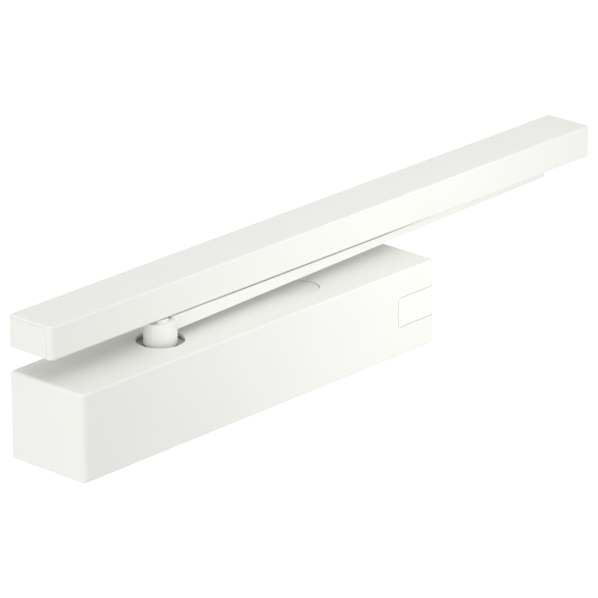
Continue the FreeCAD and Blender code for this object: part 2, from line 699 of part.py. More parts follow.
def spring_piston():
    """Piston on the spring side, with a boss that centres the inner spring."""
    boss_radius = INNER_SPRING_RADIUS - INNER_WIRE / 2 - COVER_FIT
    boss = bar_x(SPRING_PISTON_BACK, SPRING_PISTON_BACK + SPRING_BOSS_LENGTH, AXIS_Y, 0, boss_radius)
    return piston(SPRING_ROLLER_X, SPRING_PISTON_FACE, SPRING_PISTON_BACK).fuse(boss).removeSplitter()


def piston_ring_start():
    """X of the ring groove, in the middle of the damper piston's back land."""
    return DAMPER_PISTON_BACK + (PISTON_LAND - PISTON_RING_WIDTH) / 2


def damper_piston():
    """Piston on the damper side, with a ring groove and a check valve bore."""
    body = piston(DAMPER_ROLLER_X, DAMPER_PISTON_FACE, DAMPER_PISTON_BACK)
    groove = ring(
        vec(piston_ring_start(), AXIS_Y, 0),
        X_AXIS,
        PISTON_RING_WIDTH,
        BORE_RADIUS,
        PISTON_RADIUS - PISTON_RING_DEPTH,
    )
    cuts = [groove]
    back = DAMPER_PISTON_BACK
    cuts.append(bar_x(back - OVERSHOOT, back + CHECK_VALVE_LENGTH, AXIS_Y, 0, CHECK_VALVE_RADIUS))
    head_room = TIE_ROD_HEAD_RADIUS + TIE_ROD_FIT
    for y, z in tie_rod_places():
        cuts.append(bar_x(back - OVERSHOOT, back + TIE_ROD_HEAD_HEIGHT, AXIS_Y + y, z, head_room))
    return body.cut(cuts)


def damper_piston_ring():
    """Guide ring in the damper piston's groove."""
    groove_floor = PISTON_RADIUS - PISTON_RING_DEPTH
    band = ring(vec(piston_ring_start(), AXIS_Y, 0), X_AXIS, PISTON_RING_WIDTH, PISTON_RADIUS, groove_floor)
    x0 = DAMPER_PISTON_BACK - OVERSHOOT
    x1 = DAMPER_PISTON_BACK + PISTON_LAND
    heads = [bar_x(x0, x1, AXIS_Y + y, z, TIE_ROD_HEAD_RADIUS) for y, z in tie_rod_places()]
    return band.cut(heads)


def check_valve():
    """Insert that lets oil back past the damper piston as the door opens."""
    start = vec(DAMPER_PISTON_BACK, AXIS_Y, 0)
    return ring(start, X_AXIS, CHECK_VALVE_LENGTH, CHECK_VALVE_RADIUS, CHECK_VALVE_PORT)


def roller(x):
    """Cam roller with its bore."""
    start = vec(x, AXIS_Y, -ROLLER_HALF_HEIGHT)
    return ring(start, Z_AXIS, 2 * ROLLER_HALF_HEIGHT, ROLLER_RADIUS, ROLLER_PIN_RADIUS + ROLLER_FIT)


def roller_pins():
    """The two pins that the rollers turn on."""
    half = ROLLER_HALF_HEIGHT + EAR_GAP + EAR_THICKNESS
    return Part.makeCompound(
        [bar_z(x, AXIS_Y, -half, half, ROLLER_PIN_RADIUS) for x in (SPRING_ROLLER_X, DAMPER_ROLLER_X)]
    )


def coil_spring(radius, wire, turns):
    """Compression spring with ground ends, between the spring piston and the seat."""
    length = SEAT_FACE - SPRING_PISTON_BACK
    rise = (length - wire) / turns / COIL_RUNS
    runs = int(math.ceil((length + wire) / rise))
    path = []
    for step in range(runs + 1):
        angle = 2 * math.pi * step / COIL_RUNS
        path.append(vec(rise * step - wire / 2, radius * math.sin(angle), radius * math.cos(angle)))
    along = (path[1] - path[0]).normalize()
    beside = along.cross(Z_AXIS).normalize()
    upward = beside.cross(along)
    section = []
    for step in range(WIRE_SIDES):
        angle = 2 * math.pi * (step + 0.5) / WIRE_SIDES
        across = upward * math.cos(angle) + beside * math.sin(angle)
        section.append(path[0] + across * (wire / 2))
    mitred = 1
    wire_outline = Part.makePolygon(section + section[:1])
    coil = Part.makePolygon(path).makePipeShell([wire_outline], True, False, mitred)
    reach = radius + wire
    coil = coil.common(box(0, length, -reach, reach, -reach, reach))
    coil.translate(vec(SPRING_PISTON_BACK, AXIS_Y, 0))
    return coil


def spring_seat():
    """Plate that the springs push on, with a threaded hub for the adjuster."""
    hole = ADJUSTER_RADIUS + ADJUSTER_FIT
    outline = [
        (0, hole),
        (0, SEAT_HUB_RADIUS),
        (SEAT_HUB_LENGTH, SEAT_HUB_RADIUS),
        (SEAT_HUB_LENGTH, PISTON_RADIUS - PISTON_FIT),
        (SEAT_HUB_LENGTH + SEAT_THICKNESS, PISTON_RADIUS - PISTON_FIT),
        (SEAT_HUB_LENGTH + SEAT_THICKNESS, hole),
    ]
    return turned(vec(SEAT_FACE - SEAT_HUB_LENGTH, AXIS_Y, 0), X_AXIS, outline)


def adjuster_screw():
    """Screw that draws the spring seat along, held by a collar behind the plug."""
    start = SEAT_FACE - SEAT_HUB_LENGTH - ADJUSTER_REACH
    end = HOUSING_END + PLUG_FLANGE_THICKNESS + ADJUSTER_TAIL
    collar = ADJUSTER_RADIUS + ADJUSTER_COLLAR_WALL
    outline = [
        (0, 0),
        (0, ADJUSTER_RADIUS),
        (COLLAR_START - start, ADJUSTER_RADIUS),
        (COLLAR_START - start, collar),
        (COLLAR_END - start, collar),
        (COLLAR_END - start, ADJUSTER_RADIUS),
        (end - start, ADJUSTER_RADIUS),
        (end - start, 0),
    ]
    screw = turned(vec(start, AXIS_Y, 0), X_AXIS, outline)
    return screw.cut(hexagon(vec(end, AXIS_Y, 0), X_AXIS * -1, DRIVE_SOCKET_ACROSS, DRIVE_SOCKET_DEPTH))


def valve_length():
    """Length of a valve screw from the housing's front to its seat."""
    return valve_floor() - HOUSING_FRONT


def valve_seal_start():
    """Where the seal groove starts, from the housing's front."""
    return VALVE_HEAD_HEIGHT + VALVE_SEAL_WIDTH / 2


def valve_screw(x):
    """Adjusting screw with a slotted head, a seal groove and a cone point."""
    head = VALVE_RADIUS + VALVE_HEAD_WIDTH
    groove = VALVE_RADIUS - VALVE_SEAL_DEPTH
    seal_end = valve_seal_start() + VALVE_SEAL_WIDTH
    outline = [
        (0, 0),
        (0, head),
        (VALVE_HEAD_HEIGHT, head),
        (VALVE_HEAD_HEIGHT, VALVE_RADIUS),
        (valve_seal_start(), VALVE_RADIUS),
        (valve_seal_start(), groove),
        (seal_end, groove),
        (seal_end, VALVE_RADIUS),
        (valve_length() - VALVE_TIP_LENGTH, VALVE_RADIUS),
        (valve_length(), VALVE_RADIUS - VALVE_TIP_LENGTH),
        (valve_length(), 0),
    ]
    screw = turned(vec(x, HOUSING_FRONT, -VALVE_BELOW_AXIS), Y_AXIS, outline)
    half = VALVE_SLOT_WIDTH / 2
    slot_floor = HOUSING_FRONT + VALVE_SLOT_DEPTH
    slot = box(
        x - half,
        x + half,
        HOUSING_FRONT - OVERSHOOT,
        slot_floor,
        -VALVE_BELOW_AXIS - VALVE_RADIUS,
        -VALVE_BELOW_AXIS + VALVE_RADIUS,
    )
    return screw.cut(slot)


def valve_seals():
    """Seal ring of each valve screw."""
    rings = []
    for x in valve_places():
        start = vec(x, HOUSING_FRONT + valve_seal_start(), -VALVE_BELOW_AXIS)
        inner = VALVE_RADIUS - VALVE_SEAL_DEPTH + VALVE_FIT
        rings.append(ring(start, Y_AXIS, VALVE_SEAL_WIDTH - VALVE_FIT, VALVE_RADIUS + VALVE_FIT, inner))
    return Part.makeCompound(rings)


def lever_arm():
    """Flat arm with a deep hub, drawn along X and swung to reach the rail's track."""
    half = ARM_WIDTH / 2
    bar = box(0, ARM_LENGTH + ARM_OVERHANG, -half, half, ARM_FOOT, ARM_TOP)
    bar = bar.makeFillet(ARM_CORNER_RADIUS, straight_edges(bar, Z_AXIS, lambda c: c.x > ARM_LENGTH))
    hub = bar_z(0, 0, HUB_FOOT, HUB_TOP, HUB_RADIUS)
    hub = hub.makeFillet(HUB_RIM_RADIUS, [e for e in hub.Edges if e.BoundBox.ZMin > HUB_TOP - COVER_FIT])
    arm = bar.fuse(hub).removeSplitter()
    root_x = math.sqrt(HUB_RADIUS ** 2 - half ** 2)
    near = 1e-3
    root = straight_edges(arm, Z_AXIS, lambda c: abs(c.x - root_x) < near and abs(abs(c.y) - half) < near)
    arm = arm.makeFillet(HUB_ROOT_RADIUS, root)
    square_half = DRIVE_SQUARE / 2 + DRIVE_FIT
    socket = box(-square_half, square_half, -square_half, square_half, HUB_FOOT - OVERSHOOT, SPINDLE_TOP)
    screw_hole = bar_z(0, 0, HUB_FOOT, HUB_TOP + OVERSHOOT, ARM_SCREW_RADIUS + ARM_SCREW_FIT)
    pin_hole = bar_z(ARM_LENGTH, 0, ARM_FOOT - OVERSHOOT, ARM_TOP + OVERSHOOT, SLIDE_PIN_RADIUS)
    arm = arm.cut([socket, screw_hole, pin_hole])
    arm.rotate(vec(0, 0, 0), Z_AXIS, ARM_ANGLE)
    arm.translate(vec(SPINDLE_X, AXIS_Y, 0))
    return arm


def arm_screw():
    """Low-head screw that holds the arm on the spindle."""
    foot = HUB_TOP - ARM_SCREW_LENGTH
    outline = [
        (foot, 0),
        (foot, ARM_SCREW_RADIUS),
        (HUB_TOP, ARM_SCREW_RADIUS),
        (HUB_TOP, ARM_SCREW_HEAD_RADIUS),
        (ARM_SCREW_TOP, ARM_SCREW_HEAD_RADIUS),
        (ARM_SCREW_TOP, 0),
    ]
    screw = turned(vec(SPINDLE_X, AXIS_Y, 0), Z_AXIS, outline)
    mouth = vec(SPINDLE_X, AXIS_Y, ARM_SCREW_TOP)
    return screw.cut(hexagon(mouth, Z_AXIS * -1, DRIVE_SOCKET_ACROSS, ARM_SCREW_SOCKET_DEPTH))


def slide_pin():
    """Pin riveted in the arm's end that carries the slide block."""
    collar = SLIDE_PIN_RADIUS + SLIDE_PIN_COLLAR
    collar_top = RAIL_FOOT
    pin_top = CHANNEL_TOP - BLOCK_FIT - SLIDE_PIN_COLLAR
    outline = [
        (ARM_FOOT, 0),
        (ARM_FOOT, SLIDE_PIN_RADIUS),
        (ARM_TOP, SLIDE_PIN_RADIUS),
        (ARM_TOP, collar),
        (collar_top, collar),
        (collar_top, SLIDE_PIN_RADIUS),
        (pin_top, SLIDE_PIN_RADIUS),
        (pin_top, 0),
    ]
    return turned(vec(PIVOT_X, TRACK_Y, 0), Z_AXIS, outline)


def slide_block():
    """Plastic block with a neck that runs in the rail's channel and slot."""
    half = BLOCK_LENGTH / 2
    wide = BLOCK_WIDTH / 2
    foot = CHANNEL_FOOT + BLOCK_FIT
    block = box(PIVOT_X - half, PIVOT_X + half, TRACK_Y - wide, TRACK_Y + wide, foot, foot + BLOCK_HEIGHT)
    block = block.makeFillet(BLOCK_CORNER_RADIUS, straight_edges(block, Z_AXIS, lambda c: True))
    neck_half = BLOCK_NECK_LENGTH / 2
    neck_wide = BLOCK_NECK_WIDTH / 2
    neck_foot = RAIL_FOOT + BLOCK_FIT
    neck = box(
        PIVOT_X - neck_half, PIVOT_X + neck_half, TRACK_Y - neck_wide, TRACK_Y + neck_wide, neck_foot, foot
    )
    neck = neck.makeFillet(BLOCK_CORNER_RADIUS, straight_edges(neck, Z_AXIS, lambda c: True))
    pin_top = CHANNEL_TOP - BLOCK_FIT - SLIDE_PIN_COLLAR
    hole_radius = SLIDE_PIN_RADIUS + SLIDE_PIN_FIT
    hole = bar_z(PIVOT_X, TRACK_Y, neck_foot - OVERSHOOT, pin_top + BLOCK_FIT, hole_radius)
    return block.fuse(neck).removeSplitter().cut(hole)


def rail_track():
    """Extruded track: slide channel open below, screw chamber above, hollows beside."""
    step_y = RAIL_LIP_END + RAIL_FIT
    step_z = RAIL_FOOT + RAIL_COVER_WALL + RAIL_FIT
    outline = [
        (0, RAIL_FOOT),
        (0, TRACK_TOP),
        (TRACK_FRONT, TRACK_TOP),
        (TRACK_FRONT, step_z),
        (step_y, step_z),
        (step_y, RAIL_FOOT),
    ]
    wire = Part.makePolygon([vec(TRACK_START, y, z) for y, z in outline + outline[:1]])
    track = Part.Face(wire).extrude(X_AXIS * (TRACK_END - TRACK_START))
    x0 = TRACK_START - OVERSHOOT
    x1 = TRACK_END + OVERSHOOT
    side_foot = step_z + TRACK_WALL
    channel_back = TRACK_Y + CHANNEL_HALF
    channel_front = TRACK_Y - CHANNEL_HALF
    cuts = [
        box(x0, x1, channel_front, channel_back, CHANNEL_FOOT, CHANNEL_TOP),
        box(x0, x1, TRACK_Y - SLOT_HALF, TRACK_Y + SLOT_HALF, RAIL_FOOT - OVERSHOOT, CHANNEL_FOOT),
        box(x0, x1, TRACK_FRONT + TRACK_WALL, -TRACK_WALL, SCREW_CHAMBER_FOOT, SCREW_CHAMBER_TOP),
        box(x0, x1, TRACK_FRONT + TRACK_WALL, channel_front - TRACK_WALL, side_foot, CHANNEL_TOP),
        box(x0, x1, channel_back + TRACK_WALL, -TRACK_WALL, side_foot, CHANNEL_TOP),
    ]
    access_end = TRACK_FRONT + TRACK_WALL + OVERSHOOT
    for x in (RAIL_START + TRACK_HOLE_FROM_END, RAIL_END - TRACK_HOLE_FROM_END):
        cuts.append(bar_y(x, -TRACK_WALL - OVERSHOOT, OVERSHOOT, TRACK_HOLE_Z, TRACK_HOLE_RADIUS))
        cuts.append(bar_y(x, TRACK_FRONT - OVERSHOOT, access_end, TRACK_HOLE_Z, TRACK_ACCESS_RADIUS))
    return track.cut(cuts)


def rail_case(inset, corner, edge, lower_edge):
    """Outside of the rail, or a layer at a depth below it."""
    front = -RAIL_DEPTH + inset
    block = box(RAIL_START + inset, RAIL_END - inset, front, 0, RAIL_FOOT + inset, RAIL_TOP - inset)
    return rounded_case(block, front, corner, edge, lower_edge)


def rail_cover():
    """Clip-on cover: front wall that bends round both ends, top wall and a lower lip."""
    shell = rail_case(0, RAIL_CORNER_RADIUS, RAIL_EDGE_RADIUS, RAIL_LOWER_EDGE_RADIUS)
    inner_corner = RAIL_CORNER_RADIUS - RAIL_COVER_WALL
    inner_edge = RAIL_LOWER_EDGE_RADIUS
    shell = shell.cut(rail_case(RAIL_COVER_WALL, inner_corner, inner_edge, inner_edge))
    under_top = RAIL_TOP - RAIL_COVER_WALL
    x0 = RAIL_START - OVERSHOOT
    x1 = RAIL_END + OVERSHOOT
    behind = box(x0, x1, RAIL_WRAP_END, OVERSHOOT, RAIL_FOOT - OVERSHOOT, under_top)
    lip = box(TRACK_START, TRACK_END, RAIL_WRAP_END, RAIL_LIP_END, RAIL_FOOT, RAIL_FOOT + RAIL_COVER_WALL)
    return shell.cut(behind).fuse(lip).removeSplitter()


def left_rail_end_cap():
    """Flat cap that closes the rail's end behind the cover's rounded wrap."""
    front = RAIL_WRAP_END + RAIL_SEAM_GAP
    under_top = RAIL_TOP - RAIL_COVER_WALL - RAIL_CAP_GAP
    plate = box(RAIL_START, TRACK_START, front, 0, RAIL_FOOT, under_top)
    tongue = box(
        TRACK_START,
        TRACK_START + RAIL_CAP_TONGUE,
        front + TRACK_WALL,
        -TRACK_WALL - RAIL_CAP_GAP,
        SCREW_CHAMBER_FOOT + RAIL_CAP_GAP,
        SCREW_CHAMBER_TOP - RAIL_CAP_GAP,
    )
    return plate.fuse(tongue).removeSplitter()


def rail_buffer():
    """Rubber end stop in the left end of the slide channel."""
    wide = CHANNEL_HALF - RAIL_CAP_GAP
    return box(
        TRACK_START,
        TRACK_START + BUFFER_LENGTH,
        TRACK_Y - wide,
        TRACK_Y + wide,
        CHANNEL_FOOT + RAIL_CAP_GAP,
        CHANNEL_TOP - RAIL_CAP_GAP,
    )


def at_right_end(shape):
    """Mirror image of a left end piece at the rail's right end."""
    return shape.mirror(vec((RAIL_START + RAIL_END) / 2, 0, 0), X_AXIS)


def all_pieces():
    """Every node by name."""
    upper_bearing, lower_bearing = spindle_bearings()
    upper_seal, lower_seal = spindle_seals()
    pieces = {
        "mounting_plate": mounting_plate(),
        "closer_housing": closer_housing(),
        "body_cover": body_cover(),
        "badge_plate": badge_plate(),
        "blanking_cap": blanking_cap(),
        "cover_clips": Part.makeCompound([cover_clip(-1), cover_clip(1)]),
        "damper_end_plug": damper_end_plug(),
        "spring_end_plug": spring_end_plug(),
        "end_plug_seals": end_plug_seals(),
        "upper_bearing": upper_bearing,
        "lower_bearing": lower_bearing,
        "upper_spindle_seal": upper_seal,
        "lower_spindle_seal": lower_seal,
        "spindle": spindle(),
        "heart_cam": heart_cam(),
        "spindle_spacers": spindle_spacers(),
        "lever_arm": lever_arm(),
        "arm_screw": arm_screw(),
        "spring_piston": spring_piston(),
        "damper_piston": damper_piston(),
        "damper_piston_ring": damper_piston_ring(),
        "check_valve": check_valve(),
        "tie_rods": tie_rods(),
        "roller_pins": roller_pins(),
        "spring_side_roller": roller(SPRING_ROLLER_X),
        "damper_side_roller": roller(DAMPER_ROLLER_X),
        "outer_spring": coil_spring(OUTER_SPRING_RADIUS, OUTER_WIRE, OUTER_TURNS),
        "inner_spring": coil_spring(INNER_SPRING_RADIUS, INNER_WIRE, INNER_TURNS),
        "spring_seat": spring_seat(),
        "adjuster_screw": adjuster_screw(),
        "valve_seals": valve_seals(),
        "slide_pin": slide_pin(),
        "slide_block": slide_block(),
        "rail_track": rail_track(),
        "rail_cover": rail_cover(),
        "left_rail_end_cap": left_rail_end_cap(),
        "right_rail_end_cap": at_right_end(left_rail_end_cap()),
        "left_rail_buffer": rail_buffer(),
        "right_rail_buffer": at_right_end(rail_buffer()),
    }
    valve_names = ("closing_speed_valve", "latching_speed_valve", "back_check_valve", "closing_delay_valve")
    for name, x in zip(valve_names, valve_places()):
        pieces[name] = valve_screw(x)
    return pieces


os.makedirs("parts", exist_ok=True)
for node, shape in all_pieces().items():
    shape.exportStep("parts/" + node + ".step")
print("arm angle", round(ARM_ANGLE, 3), "pivot", round(PIVOT_X, 3), TRACK_Y)
print("rail ends", RAIL_START, round(RAIL_END, 2))
print("rail from", round(RAIL_FOOT, 2), "to", round(RAIL_TOP, 2), "carriage per radian", round(LIFT, 5))
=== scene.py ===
# %% [markdown]
# An overhead door closer: a box that is screwed to the door, a flat lever arm on its
# spindle, and a slide rail on the door frame in which the arm's end runs. This lesson
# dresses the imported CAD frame. Pieces that show are modelled again by hand, and machined
# pieces inside get their edges broken and a finish of their own.
# Everything is in metres: X runs along the body, Y goes into the door, Z is up.

# %% Load the frame
import json
import math

import bpy
from mathutils import Matrix, Vector

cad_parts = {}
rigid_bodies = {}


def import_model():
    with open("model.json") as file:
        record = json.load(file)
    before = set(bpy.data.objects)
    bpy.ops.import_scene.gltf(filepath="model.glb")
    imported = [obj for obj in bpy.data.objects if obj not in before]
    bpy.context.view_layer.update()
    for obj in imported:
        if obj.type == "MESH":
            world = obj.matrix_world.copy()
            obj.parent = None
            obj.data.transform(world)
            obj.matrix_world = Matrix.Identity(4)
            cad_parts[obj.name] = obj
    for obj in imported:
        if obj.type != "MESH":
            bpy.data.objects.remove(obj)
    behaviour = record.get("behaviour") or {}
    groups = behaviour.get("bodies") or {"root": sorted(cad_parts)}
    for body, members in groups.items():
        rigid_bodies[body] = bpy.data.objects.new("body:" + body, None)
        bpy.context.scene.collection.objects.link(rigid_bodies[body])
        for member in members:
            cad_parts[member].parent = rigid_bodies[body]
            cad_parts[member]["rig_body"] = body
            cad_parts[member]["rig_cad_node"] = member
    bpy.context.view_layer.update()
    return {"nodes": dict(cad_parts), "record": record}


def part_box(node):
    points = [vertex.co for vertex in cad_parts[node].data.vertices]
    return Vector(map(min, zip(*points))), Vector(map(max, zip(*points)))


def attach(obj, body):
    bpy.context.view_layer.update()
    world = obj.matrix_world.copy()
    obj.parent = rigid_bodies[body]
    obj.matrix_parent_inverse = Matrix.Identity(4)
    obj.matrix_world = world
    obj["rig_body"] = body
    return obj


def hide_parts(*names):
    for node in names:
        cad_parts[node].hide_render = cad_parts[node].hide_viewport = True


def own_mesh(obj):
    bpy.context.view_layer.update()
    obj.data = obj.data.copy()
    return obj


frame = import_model()
MM = 0.001
NEAR = 0.01 * MM

# %% [markdown]
# The camera comes first, because every later choice is judged through it. The photograph
# was taken from the left and above with a long lens, so far edges hardly shrink. A fit of
# the body's and the rail's straight edges gave the direction, the roll and the focal length.

# %% Camera
CAMERA_AZIMUTH = math.radians(-47.35)
CAMERA_ELEVATION = math.radians(20.73)
CAMERA_ROLL = math.radians(-0.236)
CAMERA_PLACE = Vector((-2.1803, -2.1022, 1.1771))
CAMERA_LENS_MM = 298.65
SENSOR_MM = 36.0
CLIP_END = 60.0

view_back = Vector((
    math.sin(CAMERA_AZIMUTH) * math.cos(CAMERA_ELEVATION),
    -math.cos(CAMERA_AZIMUTH) * math.cos(CAMERA_ELEVATION),
    math.sin(CAMERA_ELEVATION),
))
turn = view_back.to_track_quat("Z", "Y").to_matrix().to_4x4()
roll = Matrix.Rotation(CAMERA_ROLL, 4, "Z")
bpy.ops.object.camera_add()
camera = bpy.context.object
camera.name = "photo_camera"
camera.matrix_world = Matrix.Translation(CAMERA_PLACE) @ turn @ roll
camera.data.lens = CAMERA_LENS_MM
camera.data.sensor_width = SENSOR_MM
camera.data.clip_end = CLIP_END
bpy.context.scene.camera = camera
print("camera", tuple(round(v, 3) for v in camera.location))

# %% [markdown]
# Two small helpers serve every finish. Colours are written as sRGB hex, as a paint card
# gives them, and turned to the linear values that a shader works with. The other adds one
# node, sets it and links it in a single call.

# %% Colour and node helpers
def linear(hex_colour):
    """sRGB hex colour as linear RGBA."""
    channels = [int(hex_colour[place:place + 2], 16) / 255 for place in (1, 3, 5)]
    return [c / 12.92 if c <= 0.04045 else ((c + 0.055) / 1.055) ** 2.4 for c in channels] + [1.0]


def add_node(tree, kind, settings=None, inputs=None):
    """Add a node; inputs are plain values, or sockets to link from."""
    node = tree.nodes.new(kind)
    for name, value in (settings or {}).items():
        setattr(node, name, value)
    for name, value in (inputs or {}).items():
        if isinstance(value, bpy.types.NodeSocket):
            tree.links.new(value, node.inputs[name])
        else:
            node.inputs[name].default_value = value
    return node


print("warm white in linear light", [round(v, 3) for v in linear("#F3F3EF")[:3]])

# %% [markdown]
# The studio is a pale sweep with large soft lamps. The floor lies far below, because the
# closer hangs at the top of a door. The background is white for the camera and for mirror
# rays only, so the light that falls on the object stays at a plain level. One function
# builds that switch, because the world and the floor both need it.

# %% World and floor
FLOOR_DROP = 0.9
FLOOR_SIZE = 40.0
FLOOR_COLOUR = "#F4F4F2"
FLOOR_GLOW = 0.75
WORLD_LEVEL = 0.575
WHITE = "#FFFFFF"


def rays_that_see_white(tree):
    """Socket that is 1 for camera, glossy and transmission rays."""
    paths = add_node(tree, "ShaderNodeLightPath")
    mirror = add_node(tree, "ShaderNodeMath", {"operation": "MAXIMUM"},
                      {0: paths.outputs["Is Glossy Ray"], 1: paths.outputs["Is Transmission Ray"]})
    seen = add_node(tree, "ShaderNodeMath", {"operation": "MAXIMUM"},
                    {0: paths.outputs["Is Camera Ray"], 1: mirror.outputs[0]})
    return seen.outputs[0]


world = bpy.data.worlds.new("pale_studio")
bpy.context.scene.world = world
world.use_nodes = True
tree = world.node_tree
tree.nodes.clear()
level = add_node(tree, "ShaderNodeMapRange", None,
                 {"Value": rays_that_see_white(tree), "To Min": WORLD_LEVEL, "To Max": 1.0})
sky = add_node(tree, "ShaderNodeBackground", None,
               {"Color": linear(WHITE), "Strength": level.outputs[0]})
add_node(tree, "ShaderNodeOutputWorld", None, {"Surface": sky.outputs[0]})

bpy.ops.object.select_all(action="DESELECT")
bpy.ops.mesh.primitive_plane_add(size=FLOOR_SIZE, location=(0, 0, -FLOOR_DROP))
floor = bpy.context.object
floor.name = "studio_floor"
floor_finish = bpy.data.materials.new("white_paper_sweep")
floor_finish.use_nodes = True
tree = floor_finish.node_tree
tree.nodes.clear()
glow = add_node(tree, "ShaderNodeMath", {"operation": "MULTIPLY"},
                {0: rays_that_see_white(tree), 1: FLOOR_GLOW})
paper = add_node(tree, "ShaderNodeBsdfDiffuse", None, {"Color": linear(FLOOR_COLOUR)})
lift = add_node(tree, "ShaderNodeEmission", None,
                {"Color": linear(WHITE), "Strength": glow.outputs[0]})
both = add_node(tree, "ShaderNodeAddShader", None, {0: paper.outputs[0], 1: lift.outputs[0]})
add_node(tree, "ShaderNodeOutputMaterial", None, {"Surface": both.outputs[0]})
floor.data.materials.append(floor_finish)
bpy.context.scene.view_settings.view_transform = "Standard"
print("floor", FLOOR_DROP, "m below the origin")

# %% [markdown]
# Four lamps. In the photograph the long white fronts brighten from left to right and fall
# off again at the far end, which lamps close to the right front do: one low, and one
# higher that also reaches the tops. A large lamp on the left lights the end faces, and one
# overhead fills in. They were set by rendering each lamp alone and matching the sum to the
# brightness of the photograph's plain faces. The left lamp leaves no mirror image: seen
# from the right end, the tops would reflect it and burn out.

# %% Lamps
LAMPS = {
    "lamp_near_right": {
        "place": (0.19, -0.40, 0.06), "aim": (0.19, -0.03, 0.02), "size": 0.22, "watts": 0.51},
    "lamp_near_high": {
        "place": (0.22, -0.33, 0.33), "aim": (0.2, -0.03, 0.02), "size": 0.25, "watts": 0.13},
    "lamp_left": {
        "place": (-1.5, -0.35, 0.35), "aim": (-0.1, -0.03, 0.02), "size": 1.0, "watts": 8.9},
    "lamp_top": {
        "place": (0.15, -0.18, 1.6), "aim": (0.1, -0.03, 0.02), "size": 1.8, "watts": 7.2},
}
for name, lamp in LAMPS.items():
    place = Vector(lamp["place"])
    bpy.ops.object.light_add(type="AREA", location=place)
    light = bpy.context.object
    light.name = name
    light.rotation_euler = (place - Vector(lamp["aim"])).to_track_quat("Z", "Y").to_euler()
    light.visible_camera = False
    light.visible_glossy = name != "lamp_left"
    light.data.shape = "SQUARE"
    light.data.size = lamp["size"]
    light.data.energy = lamp["watts"]
    print(name, lamp["watts"], "W")

# %% [markdown]
# The cover is injection moulded ABS in a warm white. Its tool was spark eroded, which
# leaves a fine satin grain, and the melt cools a little unevenly, so colour and gloss
# drift over a hand's width. Real grain is about 0.3 mm and can't be seen from here, so it
# is drawn at 0.7 mm. The same recipe, with other values, gives the other plastics.

# %% Moulded plastics
DRIFT_MM = 60.0
GLOSS_DRIFT = 0.04
RELIEF_STRENGTH = 0.5
MIX_COLOUR_A = 6
MIX_COLOUR_B = 7
MIX_COLOUR_OUT = 2


def new_finish(name):
    """New material; gives it with its tree, its shader and Object coordinates."""
    material = bpy.data.materials.new(name)
    material.use_nodes = True
    tree = material.node_tree
    place = add_node(tree, "ShaderNodeTexCoord").outputs["Object"]
    return material, tree, tree.nodes["Principled BSDF"], place


def per_metre(size_mm):
    """Texture scale whose features are about this size."""
    return 1 / (size_mm * MM)


def finish_surface(tree, shader, mix, colours, roughness, height, depth_mm):
    """Lay a two-tone colour, a drifting gloss and a fine relief on a shader."""
    tone = add_node(tree, "ShaderNodeMix", {"data_type": "RGBA"},
                    {"Factor": mix, MIX_COLOUR_A: linear(colours[0]), MIX_COLOUR_B: linear(colours[1])})
    gloss = add_node(tree, "ShaderNodeMapRange", None,
                     {"Value": mix, "To Min": roughness - GLOSS_DRIFT, "To Max": roughness + GLOSS_DRIFT})
    relief = add_node(tree, "ShaderNodeBump", None,
                      {"Height": height, "Strength": RELIEF_STRENGTH, "Distance": depth_mm * MM})
    tree.links.new(tone.outputs[MIX_COLOUR_OUT], shader.inputs["Base Color"])
    tree.links.new(gloss.outputs[0], shader.inputs["Roughness"])
    tree.links.new(relief.outputs[0], shader.inputs["Normal"])


def moulded_plastic(name, colours, roughness, grain_mm, depth_mm, ior):
    """Plastic with a sparked grain and a slow drift of colour and gloss."""
    material, tree, shader, place = new_finish(name)
    drift = add_node(tree, "ShaderNodeTexNoise", None,
                     {"Vector": place, "Scale": per_metre(DRIFT_MM), "Detail": 2.0})
    grain = add_node(tree, "ShaderNodeTexNoise", None,
                     {"Vector": place, "Scale": per_metre(grain_mm), "Detail": 3.0})
    finish_surface(tree, shader, drift.outputs["Fac"], colours, roughness, grain.outputs["Fac"], depth_mm)
    shader.inputs["IOR"].default_value = ior
    return material


# Warm white ABS has a satin sheen, and the plate at its front, from a polished tool, is
# glossier. Acetal is black all through and a little waxy. Bronze powder makes PTFE brown
# and dull. Nitrile rubber is black and nearly matt.
FINISH = {
    "white_cover": moulded_plastic("moulded_abs_warm_white", ("#F4F4F0", "#EFEFEB"),
                                   roughness=0.42, grain_mm=0.7, depth_mm=0.012, ior=1.53),
    "badge_finish": moulded_plastic("moulded_abs_badge", ("#F6F6F2", "#F1F1ED"),
                                    roughness=0.3, grain_mm=0.5, depth_mm=0.004, ior=1.53),
    "block_plastic": moulded_plastic("moulded_acetal_black", ("#26272A", "#1C1D1F"),
                                     roughness=0.38, grain_mm=0.6, depth_mm=0.01, ior=1.48),
    "ring_plastic": moulded_plastic("bronze_filled_ptfe", ("#6B5A48", "#55473A"),
                                    roughness=0.55, grain_mm=0.4, depth_mm=0.01, ior=1.38),
    "seal_rubber": moulded_plastic("nitrile_rubber", ("#1B1B1C", "#131314"),
                                   roughness=0.62, grain_mm=0.5, depth_mm=0.015, ior=1.52),
}
print("plastics", [material.name for material in FINISH.values()])

# %% [markdown]
# The rail, the arm with its screw and the cast housing are powder coated. The powder melts
# and levels into a skin with a shallow waviness, called orange peel, a few millimetres
# across. A coat layer on the shader gives that skin, over the pigment below.

# %% Powder coat
PEEL_MM = 2.4
PEEL_DEPTH_MM = 0.006
POLYESTER_IOR = 1.5
COAT_WEIGHT = 0.15
COAT_ROUGHNESS = 0.35


